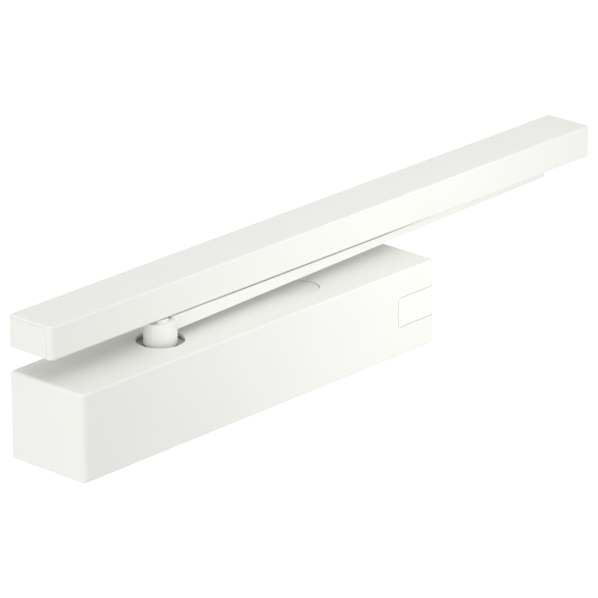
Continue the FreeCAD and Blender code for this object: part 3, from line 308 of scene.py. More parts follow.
def powder_coat(name, colours, roughness):
    """Baked polyester powder with orange peel."""
    material, tree, shader, place = new_finish(name)
    drift = add_node(tree, "ShaderNodeTexNoise", None,
                     {"Vector": place, "Scale": per_metre(DRIFT_MM), "Detail": 2.0})
    peel = add_node(tree, "ShaderNodeTexNoise", None,
                    {"Vector": place, "Scale": per_metre(PEEL_MM), "Detail": 1.0})
    finish_surface(tree, shader, drift.outputs["Fac"], colours, roughness, peel.outputs["Fac"], PEEL_DEPTH_MM)
    shader.inputs["IOR"].default_value = POLYESTER_IOR
    shader.inputs["Coat Weight"].default_value = COAT_WEIGHT
    shader.inputs["Coat Roughness"].default_value = COAT_ROUGHNESS
    return material


FINISH.update({
    "rail_coat": powder_coat("powder_coated_aluminium", ("#F4F4F0", "#F0F0EC"), roughness=0.42),
    "arm_coat": powder_coat("powder_coated_steel", ("#F8F8F4", "#F3F3EF"), roughness=0.4),
    "housing_metal": powder_coat("enamelled_die_cast_aluminium", ("#BDBDB9", "#B4B4B0"), roughness=0.5),
})
print("powder coats", FINISH["rail_coat"].name, FINISH["arm_coat"].name)

# %% [markdown]
# Metals differ by how the surface was made. Rolled and plated sheet has a cloudy mottle,
# while ground or turned steel has fine tool marks that run round or along the piece. All of
# these are noise stretched by different amounts along X, Y and Z, so one recipe takes the
# size of the marks in millimetres along each axis.

# %% Metals
def worked_metal(name, colours, roughness, marks_mm, depth_mm):
    """Metal whose tool marks have the given size along X, Y and Z."""
    material, tree, shader, place = new_finish(name)
    stretch = add_node(tree, "ShaderNodeMapping", None,
                       {"Vector": place, "Scale": [per_metre(size) for size in marks_mm]})
    marks = add_node(tree, "ShaderNodeTexNoise", None,
                     {"Vector": stretch.outputs[0], "Scale": 1.0, "Detail": 4.0, "Roughness": 0.6})
    finish_surface(tree, shader, marks.outputs["Fac"], colours, roughness, marks.outputs["Fac"], depth_mm)
    shader.inputs["Metallic"].default_value = 1.0
    return material


# Zinc plate is a cool light grey with a soft cloud. Turned steel shows rings, ground bearing
# steel is the brightest, and hardened steel is darker. Spring steel, tempered in oil, is
# blue-black, and turned brass is yellow.
FINISH.update({
    "plate_steel": worked_metal("zinc_plated_sheet_steel", ("#C3C5C6", "#AEB1B4"),
                                roughness=0.38, marks_mm=(9, 9, 9), depth_mm=0.01),
    "screw_steel": worked_metal("zinc_plated_screw_steel", ("#C6C7C5", "#B2B4B4"),
                                roughness=0.34, marks_mm=(3, 3, 3), depth_mm=0.008),
    "plug_steel": worked_metal("turned_steel", ("#A3A4A6", "#8C8E91"),
                               roughness=0.36, marks_mm=(0.5, 6, 6), depth_mm=0.012),
    "bearing_steel": worked_metal("ground_bearing_steel", ("#C4C5C7", "#AFB1B4"),
                                  roughness=0.24, marks_mm=(5, 5, 0.5), depth_mm=0.006),
    "hard_steel": worked_metal("hardened_ground_steel", ("#8D8E91", "#76787C"),
                               roughness=0.3, marks_mm=(6, 6, 0.6), depth_mm=0.008),
    "spring_steel": worked_metal("oil_tempered_spring_steel", ("#55585D", "#3F4247"),
                                 roughness=0.42, marks_mm=(4, 4, 4), depth_mm=0.01),
    "valve_brass": worked_metal("turned_brass", ("#D2B06A", "#BF9A52"),
                                roughness=0.3, marks_mm=(5, 0.5, 5), depth_mm=0.01),
})
SLOT_OF = {part["node"]: part["material_slot"] for part in frame["record"]["subparts"]}
print("finishes", len(FINISH), "for slots", len(set(SLOT_OF.values())))

# %% [markdown]
# A few hand tools follow, each a thin wrap of Blender's own operators. An operator acts on
# everything that is selected, so the first tool makes one object the whole selection.
# Edges and faces are picked in code, by where they lie or which way they face.

# %% Hand tools
SHARP_ANGLE = math.radians(40)
SQUARE_ON = 0.99


def only(piece):
    """Make one object the whole selection."""
    bpy.ops.object.select_all(action="DESELECT")
    piece.select_set(True)
    bpy.context.view_layer.objects.active = piece


def use_modifier(piece, kind, **settings):
    """Add a modifier, set it and apply it."""
    only(piece)
    modifier = piece.modifiers.new(kind.lower(), kind)
    for name, value in settings.items():
        setattr(modifier, name, value)
    bpy.ops.object.modifier_apply(modifier=modifier.name)


def combine(piece, tool, operation):
    """Cut a tool out of a piece (DIFFERENCE) or weld it on (UNION), and clear the tool away."""
    use_modifier(piece, "BOOLEAN", operation=operation, object=tool, solver="EXACT")
    bpy.data.objects.remove(tool)


def block(name, low, high):
    """Cube primitive stretched between two corners."""
    low, high = Vector(low), Vector(high)
    bpy.ops.object.select_all(action="DESELECT")
    bpy.ops.mesh.primitive_cube_add(size=1, location=(low + high) / 2)
    piece = bpy.context.object
    piece.name = name
    piece.scale = high - low
    bpy.ops.object.transform_apply(location=True, rotation=True, scale=True)
    return piece


def pick(piece, kind, test):
    """Enter edit mode with only those edges (two ends) or faces (middle, normal) that pass a test."""
    only(piece)
    bpy.ops.object.mode_set(mode="EDIT")
    bpy.ops.mesh.select_mode(type=kind)
    bpy.ops.mesh.select_all(action="DESELECT")
    bpy.ops.object.mode_set(mode="OBJECT")
    points = [vertex.co for vertex in piece.data.vertices]
    if kind == "EDGE":
        for edge in piece.data.edges:
            edge.select = test(points[edge.vertices[0]], points[edge.vertices[1]])
    else:
        for face in piece.data.polygons:
            face.select = test(face.center, face.normal)
    bpy.ops.object.mode_set(mode="EDIT")


def upright(a, b):
    """Test for edges whose two ends lie at different heights."""
    return abs(a.z - b.z) > NEAR


def round_edges(piece, width, segments, test):
    """Bevel the edges whose two ends pass a test."""
    pick(piece, "EDGE", test)
    bpy.ops.mesh.bevel(offset=width, segments=segments, affect="EDGES")
    bpy.ops.object.mode_set(mode="OBJECT")


def soften(piece, width, segments=2):
    """Bevel every sharp edge."""
    use_modifier(piece, "BEVEL", width=width, segments=segments, limit_method="ANGLE",
                 angle_limit=SHARP_ANGLE)


print("hand tools ready")

# %% [markdown]
# Turned pieces come from a lathe: a circle primitive is drawn out along the axis station by
# station, and scaled to the radius there. The Spin tool would do the same from a profile,
# but this keeps clean rings of quads and a flat face at each end.

# %% Lathe
LATHE_SIDES = 64
UP = (0, 0, 1)
ALONG = (1, 0, 0)


def lathe(name, start, axis, outline, sides=LATHE_SIDES):
    """Turned piece; outline gives (place along the axis, radius) pairs from the start point."""
    start, axis = Vector(start), Vector(axis)
    place, radius = outline[0]
    bpy.ops.object.select_all(action="DESELECT")
    bpy.ops.mesh.primitive_circle_add(
        vertices=sides, radius=radius, fill_type="NGON",
        location=start + axis * place, rotation=axis.to_track_quat("Z", "Y").to_euler())
    piece = bpy.context.object
    piece.name = name
    bpy.ops.object.transform_apply(location=True, rotation=True, scale=True)
    bpy.ops.object.mode_set(mode="EDIT")
    bpy.ops.mesh.select_mode(type="FACE")
    bpy.ops.mesh.select_all(action="SELECT")
    for next_place, next_radius in outline[1:]:
        bpy.ops.mesh.extrude_region_move(TRANSFORM_OT_translate={"value": axis * (next_place - place)})
        bpy.ops.transform.resize(value=[next_radius / radius] * 3, center_override=start + axis * next_place)
        place, radius = next_place, next_radius
    bpy.ops.mesh.select_all(action="SELECT")
    bpy.ops.mesh.normals_make_consistent(inside=False)
    bpy.ops.object.mode_set(mode="OBJECT")
    return piece


print("lathe with", LATHE_SIDES, "sides")

# %% [markdown]
# Every finished piece ends the same way. Its doubles are merged and its normals turned
# outwards, round faces are shaded smooth while flat ones stay flat, and it takes the finish
# and the moving body of the CAD node that it stands for.

# %% Seating a finished piece
MERGE = 0.0005 * MM
SMOOTH_ANGLE = math.radians(30)


def seat_piece(piece, *nodes):
    """Clean, shade and paint a piece, and let it ride in place of its CAD nodes."""
    only(piece)
    bpy.ops.object.mode_set(mode="EDIT")
    bpy.ops.mesh.select_all(action="SELECT")
    bpy.ops.mesh.remove_doubles(threshold=MERGE)
    bpy.ops.mesh.normals_make_consistent(inside=False)
    bpy.ops.object.mode_set(mode="OBJECT")
    bpy.ops.object.shade_smooth_by_angle(angle=SMOOTH_ANGLE)
    use_modifier(piece, "WEIGHTED_NORMAL", keep_sharp=True)
    slot = SLOT_OF[nodes[0]]
    piece.data.materials.clear()
    piece.data.materials.append(FINISH[slot])
    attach(piece, frame["nodes"][nodes[0]]["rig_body"])
    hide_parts(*nodes)
    print(piece.name, "faces", len(piece.data.polygons))


print("smooth under", round(math.degrees(SMOOTH_ANGLE)), "degrees")

# %% [markdown]
# The body's cover and the rail's cover are both thin boxes, open at the back, with round
# front corners and eased rims. One tool makes them: a cube is rounded, and a smaller one of
# the same kind, longer at the back, takes out the room. The upper rim is rounder at the two
# ends than along the front, so it is bevelled by weight: each edge of the rim gets a share
# of the full width by its direction. Solidify would give the wall in one step, but most
# rims are tighter than the wall is thick and would fold on the inside.

# %% Cover shell
CUT_PAST = 5.0 * MM
COVER_WALL = 2.2 * MM
COVER_CORNER = 4.0 * MM
COVER_EDGE = 0.6 * MM
COVER_END_EDGE = 2.6 * MM
COVER_FOOT_EDGE = 1.5 * MM
CORNER_SEGMENTS = 8
RIM_SEGMENTS = 5


def rounded_block(name, low, high, corner, edge, end_edge, foot_edge):
    """Block with round front corners and eased upper and lower rims; its back stays sharp."""
    piece = block(name, low, high)
    round_edges(piece, corner, CORNER_SEGMENTS,
                lambda a, b: max(a.y, b.y) < low.y + NEAR and upright(a, b))
    round_edges(piece, foot_edge, RIM_SEGMENTS,
                lambda a, b: max(a.z, b.z) < low.z + NEAR and min(a.y, b.y) < high.y - NEAR)
    weight = piece.data.attributes.new("bevel_weight_edge", "FLOAT", "EDGE")
    for number, line in enumerate(piece.data.edges):
        a, b = (piece.data.vertices[index].co for index in line.vertices)
        if min(a.z, b.z) > high.z - NEAR and min(a.y, b.y) < high.y - NEAR:
            endward = abs((b - a).normalized().y)
            weight.data[number].value = (edge + (end_edge - edge) * endward) / end_edge
    use_modifier(piece, "BEVEL", width=end_edge, segments=RIM_SEGMENTS, limit_method="WEIGHT",
                 use_clamp_overlap=False)
    return piece


def open_box(name, low, high, wall, corner, edge, end_edge, foot_edge):
    """Rounded block, hollowed from the back to an even wall."""
    shell = rounded_block(name, low, high, corner, edge, end_edge, foot_edge)
    room_low = low + Vector((wall, wall, wall))
    room_high = Vector((high.x - wall, high.y + CUT_PAST, high.z - wall))
    room = rounded_block("room_tool", room_low, room_high, corner - wall, edge / 2, edge / 2, edge / 2)
    combine(shell, room, "DIFFERENCE")
    return shell


cover_low, cover_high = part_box("body_cover")
cover = open_box("cover_shell", cover_low, cover_high, COVER_WALL, COVER_CORNER,
                 COVER_EDGE, COVER_END_EDGE, COVER_FOOT_EDGE)
print("cover wall", COVER_WALL, "faces", len(cover.data.polygons))

# %% [markdown]
# Two round openings let the spindle out on either hand, so that the closer suits left and
# right doors. The tool that cuts them is turned with a flare at its top, which leaves the
# rim rounded as a moulded rim is. Three ribs inside reach almost to the housing, so that
# the front can't be pushed in.

# %% Cover openings and ribs
OPENING_RADIUS = 16.0 * MM
RIM_RADIUS = 0.25 * MM
RIM_STEPS = 5
RIM_SWEEP = math.radians(80)
RIB_WIDTH = 3.0 * MM
RIB_HALF_HEIGHT = 13.25 * MM
RIB_SPACING = 92.0 * MM
RIB_GAP = 0.3 * MM

spindle_low, spindle_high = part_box("spindle")
spindle_x = (spindle_low.x + spindle_high.x) / 2
axis_y = (spindle_low.y + spindle_high.y) / 2
rim_start = cover_high.z - RIM_RADIUS
rim = [(0, OPENING_RADIUS)]
for step in range(RIM_STEPS + 1):
    angle = RIM_SWEEP * step / RIM_STEPS
    rim.append((rim_start + RIM_RADIUS * math.sin(angle),
                OPENING_RADIUS + RIM_RADIUS * (1 - math.cos(angle))))
rim.append((cover_high.z + RIM_RADIUS, OPENING_RADIUS + 2 * RIM_RADIUS))
for x in (spindle_x, -spindle_x):
    combine(cover, lathe("opening_tool", (x, axis_y, 0), UP, rim), "DIFFERENCE")

rib_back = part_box("closer_housing")[0].y - RIB_GAP
rib_front = cover_low.y + COVER_WALL / 2
for x in (-RIB_SPACING, 0, RIB_SPACING):
    rib = block("rib", (x - RIB_WIDTH / 2, rib_front, -RIB_HALF_HEIGHT),
                (x + RIB_WIDTH / 2, rib_back, RIB_HALF_HEIGHT))
    combine(cover, rib, "UNION")
print("openings at", round(spindle_x, 4), round(-spindle_x, 4))

# %% [markdown]
# A plain plate is let into the right end of the front and bends round the corner. It is one
# strip: an upright plane with its left corners rounded, whose right edge is spun round the
# cover's corner, then thickened. The same strip, grown by the fitting gap, cuts its pocket,
# so the plate is framed by an even shadow line. The plate itself stays bare.

# %% Badge pocket and plate
BADGE_THICKNESS = 0.8 * MM
BADGE_GAP = 0.45 * MM
BADGE_CORNER = 2.0 * MM
BADGE_SOFT_EDGE = 0.12 * MM
POCKET_REACH = 1.0 * MM

badge_low, badge_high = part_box("badge_plate")


def badge_strip(name, grow, inward, outward):
    """Strip on the front face, bent round the right corner and thickened both ways."""
    bend_x = cover_high.x - COVER_CORNER
    bend_y = cover_low.y + COVER_CORNER
    low_x = badge_low.x - grow
    height = badge_high.z - badge_low.z + 2 * grow
    middle_z = (badge_low.z + badge_high.z) / 2
    bpy.ops.object.select_all(action="DESELECT")
    bpy.ops.mesh.primitive_plane_add(size=1, location=((low_x + bend_x) / 2, cover_low.y, middle_z),
                                     rotation=(math.pi / 2, 0, 0))
    strip = bpy.context.object
    strip.name = name
    strip.scale = (bend_x - low_x, height, 1)
    bpy.ops.object.transform_apply(location=True, rotation=True, scale=True)
    pick(strip, "EDGE", lambda a, b: max(a.x, b.x) < low_x + NEAR)
    bpy.ops.mesh.bevel(offset=BADGE_CORNER + grow, segments=6, affect="VERTICES")
    bpy.ops.object.mode_set(mode="OBJECT")
    pick(strip, "EDGE", lambda a, b: min(a.x, b.x) > bend_x - NEAR)
    bpy.ops.mesh.spin(steps=CORNER_SEGMENTS, angle=-math.pi / 2, center=(bend_x, bend_y, 0), axis=UP)
    if grow:
        bpy.ops.mesh.extrude_region_move(TRANSFORM_OT_translate={"value": (0, grow, 0)})
    bpy.ops.mesh.select_all(action="SELECT")
    bpy.ops.mesh.remove_doubles(threshold=MERGE)
    bpy.ops.mesh.normals_make_consistent(inside=False)
    bpy.ops.object.mode_set(mode="OBJECT")
    use_modifier(strip, "SOLIDIFY", thickness=inward + outward, use_even_offset=True,
                 offset=(outward - inward) / (outward + inward))
    return strip


combine(cover, badge_strip("pocket_tool", BADGE_GAP, BADGE_THICKNESS, POCKET_REACH), "DIFFERENCE")
seat_piece(cover, "body_cover")
badge = badge_strip("bare_badge_plate", 0, BADGE_THICKNESS, 0)
soften(badge, BADGE_SOFT_EDGE)
seat_piece(badge, "badge_plate")

# %% [markdown]
# The opening that isn't used is closed by a cap, pushed in from inside until its flange
# meets the shell. It is a short lathe job: a flat face that lies a little below the cover's
# top, with an eased rim, a flange and a hollow underside.

# %% Blanking cap
CAP_RIM_GAP = 0.6 * MM
CAP_SINK = 1.2 * MM
CAP_GAP = 0.15 * MM
CAP_SKIN = 1.6 * MM
CAP_FLANGE = 2.0 * MM
CAP_SOFT_EDGE = 0.25 * MM

cap_low, cap_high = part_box("blanking_cap")
cap_radius = OPENING_RADIUS - CAP_RIM_GAP
cap_hollow = OPENING_RADIUS - CAP_FLANGE
cap_face = cap_high.z - CAP_SINK
flange_top = cover_high.z - COVER_WALL - CAP_GAP
flange_radius = (cap_high.x - cap_low.x) / 2
cap = lathe("blanking_cap_disc", (-spindle_x, axis_y, 0), UP, [
    (cap_face, cap_radius),
    (flange_top, cap_radius),
    (flange_top, flange_radius),
    (cap_low.z, flange_radius),
    (cap_low.z, cap_hollow),
    (cap_face - CAP_SKIN, cap_hollow),
])
soften(cap, CAP_SOFT_EDGE)
seat_piece(cap, "blanking_cap")

# %% [markdown]
# The lever arm is forged: a bar that is thick at its deep round hub and thinner towards its
# end, so that its top falls slowly away from the rail above. The bar is drawn along X. It
# starts beside the screw's head, as wide as the hub's fillet, narrows station by station
# along that fillet, and then runs straight. Its long edges are eased before the hub is
# welded on.

# %% Lever arm bar
ARM_WIDTH = 13.6 * MM
ARM_ROOT_THICKNESS = 9.2 * MM
ARM_END_THICKNESS = 5.8 * MM
ARM_LEVEL = 40.0 * MM
ARM_TAPER = 220.0 * MM
ARM_EDGE = 0.5 * MM
ARM_STEP = 6.6 * MM
ARM_END_CORNER = 1.0 * MM
ARM_OVERHANG = 9.5 * MM
HUB_RADIUS = 11.1 * MM
HUB_ROOT = 5.0 * MM
ROOT_STEPS = 6

arm_low, arm_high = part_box("lever_arm")
pin_low, pin_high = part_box("slide_pin")
pin_middle = (pin_low + pin_high) / 2
reach = Vector((pin_middle.x - spindle_x, pin_middle.y - axis_y, 0))
arm_end = reach.length + ARM_OVERHANG
half_width = ARM_WIDTH / 2
bar_foot = pin_low.z
root_x = math.sqrt((HUB_RADIUS + HUB_ROOT) ** 2 - (half_width + HUB_ROOT) ** 2)
root_turn = math.atan2(root_x, half_width + HUB_ROOT)
root_start = HUB_RADIUS * math.sin(root_turn)
root_half = HUB_RADIUS * math.cos(root_turn)


def bar_thickness(x):
    """Thickness at a place along the bar: even near the hub, then falling, then even again."""
    share = min(max(x - ARM_LEVEL, 0) / (ARM_TAPER - ARM_LEVEL), 1.0)
    return ARM_ROOT_THICKNESS + (ARM_END_THICKNESS - ARM_ROOT_THICKNESS) * share


def on_bar_rim(a, b):
    """Edges along both sides and round the far end, but no upright ones."""
    along = a.y * b.y > 0
    at_end = min(a.x, b.x) > arm_end - NEAR
    return (a - b).xy.length > NEAR and (along or at_end)


arm = block("lever_arm_bar", (ARM_STEP, -root_half, bar_foot),
            (root_start, root_half, bar_foot + bar_thickness(root_start)))
pick(arm, "FACE", lambda middle, normal: normal.x > SQUARE_ON)
stations = []
for step in range(ROOT_STEPS - 1, -1, -1):
    angle = root_turn * step / ROOT_STEPS
    stations.append((root_x - HUB_ROOT * math.sin(angle), half_width + HUB_ROOT * (1 - math.cos(angle))))
stations += [(place, half_width) for place in (ARM_LEVEL, ARM_TAPER, arm_end)]
place, half = root_start, root_half
for next_place, next_half in stations:
    thinner = bar_thickness(next_place) / bar_thickness(place)
    bpy.ops.mesh.extrude_region_move(TRANSFORM_OT_translate={"value": (next_place - place, 0, 0)})
    bpy.ops.transform.resize(value=(1, next_half / half, thinner),
                             center_override=(next_place, 0, bar_foot))
    place, half = next_place, next_half
bpy.ops.object.mode_set(mode="OBJECT")
round_edges(arm, ARM_END_CORNER, segments=4,
            test=lambda a, b: min(a.x, b.x) > arm_end - NEAR and upright(a, b))
round_edges(arm, ARM_EDGE, segments=3, test=on_bar_rim)
print("arm", round(reach.length, 4), "m from axis to axis")

# %% [markdown]
# The hub is turned, with both its rims eased, and welded to the bar, and so is a low boss
# under the pin's collar. A square socket takes the spindle's drive, a screw passes down
# through the roof, and the far end is bored for the pin. Last, the whole arm is swung to
# where its pin meets the rail.

# %% Lever arm hub and holes
HUB_RIM = 0.4 * MM
HUB_FOOT_EDGE = 0.4 * MM
DRIVE_ACROSS = 9.72 * MM
SCREW_HOLE_RADIUS = 3.1 * MM
PIN_RADIUS = 4.0 * MM
PIN_BOSS_TOP = 7.2 * MM

hub = lathe("hub", (0, 0, 0), UP, [(arm_low.z, HUB_RADIUS), (arm_high.z, HUB_RADIUS)])
round_edges(hub, HUB_RIM, segments=6, test=lambda a, b: min(a.z, b.z) > arm_high.z - NEAR)
round_edges(hub, HUB_FOOT_EDGE, segments=2, test=lambda a, b: max(a.z, b.z) < arm_low.z + NEAR)
combine(arm, hub, "UNION")
boss_radius = half_width - ARM_EDGE
boss = lathe("boss", (reach.length, 0, bar_foot), UP, [
    (ARM_END_THICKNESS / 2, boss_radius), (PIN_BOSS_TOP, boss_radius)])
combine(arm, boss, "UNION")
half_drive = DRIVE_ACROSS / 2
socket = block("socket_tool", (-half_drive, -half_drive, arm_low.z - CUT_PAST),
               (half_drive, half_drive, spindle_high.z))
combine(arm, socket, "DIFFERENCE")
for x, radius in ((0, SCREW_HOLE_RADIUS), (reach.length, PIN_RADIUS)):
    hole = lathe("hole_tool", (x, 0, 0), UP, [
        (bar_foot - CUT_PAST, radius), (arm_high.z + CUT_PAST, radius)])
    combine(arm, hole, "DIFFERENCE")
only(arm)
arm.rotation_euler.z = math.atan2(reach.y, reach.x)
arm.location = (spindle_x, axis_y, 0)
bpy.ops.object.transform_apply(location=True, rotation=True, scale=True)
arm.name = "lever_arm_and_hub"
seat_piece(arm, "lever_arm")

# %% [markdown]
# Two screws have a thread, which is a real helix: the shank is turned with several rows to
# each pitch, and every vertex is then moved in by the depth of the groove at its own turn. A
# boolean with a helix would be slower and would leave slivers.

# %% Threads
THREAD_ROWS = 8


def thread_rows(first, last, radius, pitch):
    """Lathe stations close enough together to carry a thread."""
    count = round((last - first) / pitch * THREAD_ROWS)
    return [(first + (last - first) * row / count, radius) for row in range(count + 1)]


def cut_thread(piece, start, axis, first, last, radius, pitch, depth):
    """Press a helical groove into the shank between two places on its axis."""
    start, axis = Vector(start), Vector(axis)
    aside = axis.orthogonal().normalized()
    across = axis.cross(aside)
    for vertex in piece.data.vertices:
        place = (vertex.co - start).dot(axis)
        out = vertex.co - start - axis * place
        if first - NEAR < place < last + NEAR and abs(out.length - radius) < NEAR:
            phase = (place / pitch - math.atan2(out.dot(across), out.dot(aside)) / math.tau) % 1
            fade = min(1.0, (place - first) / pitch, (last - place) / pitch)
            vertex.co -= out.normalized() * depth * fade * (1 - abs(2 * phase - 1))


print("thread rows to a pitch", THREAD_ROWS)

# %% [markdown]
# The screw that holds the arm is turned in one go: a chamfered tip, the shank, a plain neck
# and a low head with an eased rim. A six-sided turned tool cuts the socket for the key. The
# thread is pressed in last, so that the boolean works on plain rings.

# %% Arm screw
SCREW_RADIUS = 3.0 * MM
SCREW_PITCH = 1.0 * MM
SCREW_THREAD_DEPTH = 0.55 * MM
SCREW_TIP = 0.7 * MM
SCREW_NECK = 2.0 * MM
HEAD_RADIUS = 5.4 * MM
HEAD_EDGE = 0.5 * MM
KEY_ACROSS = 5.0 * MM
KEY_DEPTH = 1.2 * MM

screw_low, screw_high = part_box("arm_screw")
screw_axis = (spindle_x, axis_y, 0)
thread_first = screw_low.z + SCREW_TIP
thread_last = arm_high.z - SCREW_NECK
outline = [(screw_low.z, SCREW_RADIUS - SCREW_TIP)]
outline += thread_rows(thread_first, thread_last, SCREW_RADIUS, SCREW_PITCH)
outline += [(arm_high.z, SCREW_RADIUS), (arm_high.z, HEAD_RADIUS), (screw_high.z, HEAD_RADIUS)]
screw = lathe("arm_screw_m6", screw_axis, UP, outline)
round_edges(screw, HEAD_EDGE, segments=4, test=lambda a, b: min(a.z, b.z) > screw_high.z - NEAR)
key_corner = KEY_ACROSS / math.sqrt(3)
key = lathe("key_tool", screw_axis, UP, [
    (screw_high.z - KEY_DEPTH, key_corner), (screw_high.z + CUT_PAST, key_corner)], sides=6)
combine(screw, key, "DIFFERENCE")
cut_thread(screw, screw_axis, UP, thread_first, thread_last,
           SCREW_RADIUS, SCREW_PITCH, SCREW_THREAD_DEPTH)
seat_piece(screw, "arm_screw")

# %% [markdown]
# The rail's cover is bent and mitred sheet: its front wall turns both corners, its top lies
# over the track and a lip runs under the front edge. It is the same open box, with the end
# walls cut away behind the corners. The edges left there are eased a little, which is what
# makes the seam beside each end cap catch the light.

# %% Rail cover
RAIL_WALL = 1.8 * MM
RAIL_CORNER = 4.0 * MM
RAIL_EDGE = 0.9 * MM
RAIL_END_EDGE = 1.7 * MM
RAIL_FOOT_EDGE = 1.2 * MM
RAIL_LIP = 1.0 * MM
RAIL_SEAM_EDGE = 0.3 * MM

rail_low, rail_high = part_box("rail_cover")
track_low, track_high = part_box("rail_track")
wrap_y = rail_low.y + RAIL_CORNER
under_top = rail_high.z - RAIL_WALL


def at_rail_seam(a, b):
    """Upright outer edges that meet an end cap."""
    outside = all(min(abs(p.x - rail_low.x), abs(p.x - rail_high.x)) < NEAR for p in (a, b))
    return outside and max(abs(a.y - wrap_y), abs(b.y - wrap_y)) < NEAR


rail = open_box("rail_cover_sheet", rail_low, rail_high, RAIL_WALL, RAIL_CORNER,
                RAIL_EDGE, RAIL_END_EDGE, RAIL_FOOT_EDGE)
behind = block("behind_tool", (rail_low.x - CUT_PAST, wrap_y, rail_low.z - CUT_PAST),
               (rail_high.x + CUT_PAST, rail_high.y + CUT_PAST, under_top))
combine(rail, behind, "DIFFERENCE")
lip = block("lip", (track_low.x, wrap_y - RAIL_LIP, rail_low.z),
            (track_high.x, wrap_y + RAIL_LIP, rail_low.z + RAIL_WALL))
combine(rail, lip, "UNION")
round_edges(rail, RAIL_SEAM_EDGE, segments=3, test=at_rail_seam)
seat_piece(rail, "rail_cover")

# %% [markdown]
# Each end of the rail is closed by a moulded cap with a tongue that plugs into the track's
# upper chamber, above the channel. One is modelled and its copy is mirrored to the other
# end. A mirror turns a mesh inside out, so the copy's normals are turned outwards again when
# it is seated.

# %% Rail end caps
END_CAP_EDGE = 0.25 * MM
END_CAP_FOOT_EDGE = 2.0 * MM
TRACK_WALL = 2.2 * MM
TRACK_LIP = 2.5 * MM
TRACK_ROOF = 1.5 * MM
CHANNEL_HEIGHT = 8.8 * MM
TONGUE_GAP = 0.1 * MM
TONGUE_LEAD = 1.0 * MM

rail_middle = (rail_low.x + rail_high.x) / 2


def mirrored(piece, name):
    """Copy of a left end piece at the rail's right end, with its own mesh."""
    only(piece)
    bpy.ops.object.duplicate()
    copy = bpy.context.object
    copy.name = name
    copy.data.transform(Matrix.Translation((2 * rail_middle, 0, 0)) @ Matrix.Scale(-1, 4, ALONG))
    return copy


end_low, end_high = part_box("left_rail_end_cap")
plate_end = track_low.x
end_cap = block("left_end_cap", end_low, (plate_end, end_high.y, end_high.z))
chamber_foot = track_low.z + TRACK_LIP + CHANNEL_HEIGHT + TRACK_WALL
chamber_top = track_high.z - TRACK_ROOF
tongue = block("tongue", (plate_end - TONGUE_GAP, end_low.y + TRACK_WALL, chamber_foot + TONGUE_GAP),
               (end_high.x, -TRACK_WALL - TONGUE_GAP, chamber_top - TONGUE_GAP))
round_edges(tongue, TONGUE_LEAD, segments=3, test=lambda a, b: min(a.x, b.x) > end_high.x - NEAR)
combine(end_cap, tongue, "UNION")
round_edges(end_cap, END_CAP_FOOT_EDGE, RIM_SEGMENTS,
            lambda a, b: max(a.x, b.x) < end_low.x + NEAR and max(a.z, b.z) < end_low.z + NEAR)
soften(end_cap, END_CAP_EDGE, segments=3)
right_end_cap = mirrored(end_cap, "right_end_cap")
seat_piece(end_cap, "left_rail_end_cap")
seat_piece(right_end_cap, "right_rail_end_cap")

# %% [markdown]
# Rubber buffers stop the slide block at both ends of the channel. The face that takes the
# knock is hollowed by an inset, so that it gives a little before the full block does.

# %% Rail buffers
BUFFER_EDGE = 0.6 * MM
BUFFER_RIM = 2.0 * MM
BUFFER_HOLLOW = 1.5 * MM
BUFFER_NARROWING = 0.8

buffer_low, buffer_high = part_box("left_rail_buffer")
buffer = block("left_buffer", buffer_low, buffer_high)
soften(buffer, BUFFER_EDGE, segments=3)
pick(buffer, "FACE", lambda middle, normal: normal.x > SQUARE_ON)
bpy.ops.mesh.inset(thickness=BUFFER_RIM)
bpy.ops.mesh.extrude_region_move(TRANSFORM_OT_translate={"value": (-BUFFER_HOLLOW, 0, 0)})
hollow_floor = (buffer_high.x - BUFFER_HOLLOW, pin_middle.y, (buffer_low.z + buffer_high.z) / 2)
bpy.ops.transform.resize(value=(1, BUFFER_NARROWING, BUFFER_NARROWING), center_override=hollow_floor)
bpy.ops.object.mode_set(mode="OBJECT")
right_buffer = mirrored(buffer, "right_buffer")
seat_piece(buffer, "left_rail_buffer")
seat_piece(right_buffer, "right_rail_buffer")

# %% [markdown]
# The slide block is moulded acetal. Its body runs in the channel and its neck reaches down
# through the slot. A shallow pocket in its top holds grease, and the pin enters from below.

# %% Slide block
BLOCK_CORNER = 3.0 * MM
BLOCK_EDGE = 0.5 * MM
NECK_LENGTH = 26.0 * MM
NECK_WIDTH = 10.0 * MM
NECK_HEIGHT = 2.5 * MM
GREASE_RIM = 2.5 * MM
GREASE_DEPTH = 0.6 * MM
PIN_FIT = 0.05 * MM
PIN_END_GAP = 0.2 * MM

slide_low, slide_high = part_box("slide_block")
slider = block("slide_block_acetal", (slide_low.x, slide_low.y, slide_low.z + NECK_HEIGHT), slide_high)
round_edges(slider, BLOCK_CORNER, segments=6, test=upright)
pick(slider, "FACE", lambda middle, normal: normal.z > SQUARE_ON)
bpy.ops.mesh.inset(thickness=GREASE_RIM)
bpy.ops.mesh.extrude_region_move(TRANSFORM_OT_translate={"value": (0, 0, -GREASE_DEPTH)})
bpy.ops.object.mode_set(mode="OBJECT")
neck = block("neck", (pin_middle.x - NECK_LENGTH / 2, pin_middle.y - NECK_WIDTH / 2, slide_low.z),
             (pin_middle.x + NECK_LENGTH / 2, pin_middle.y + NECK_WIDTH / 2, slide_low.z + 2 * NECK_HEIGHT))
round_edges(neck, BLOCK_CORNER, segments=6, test=upright)
combine(slider, neck, "UNION")
soften(slider, BLOCK_EDGE)
pin_hole_radius = PIN_RADIUS + PIN_FIT
pin_hole = lathe("hole_tool", (pin_middle.x, pin_middle.y, 0), UP, [
    (slide_low.z - CUT_PAST, pin_hole_radius), (pin_high.z + PIN_END_GAP, pin_hole_radius)])
combine(slider, pin_hole, "DIFFERENCE")
seat_piece(slider, "slide_block")

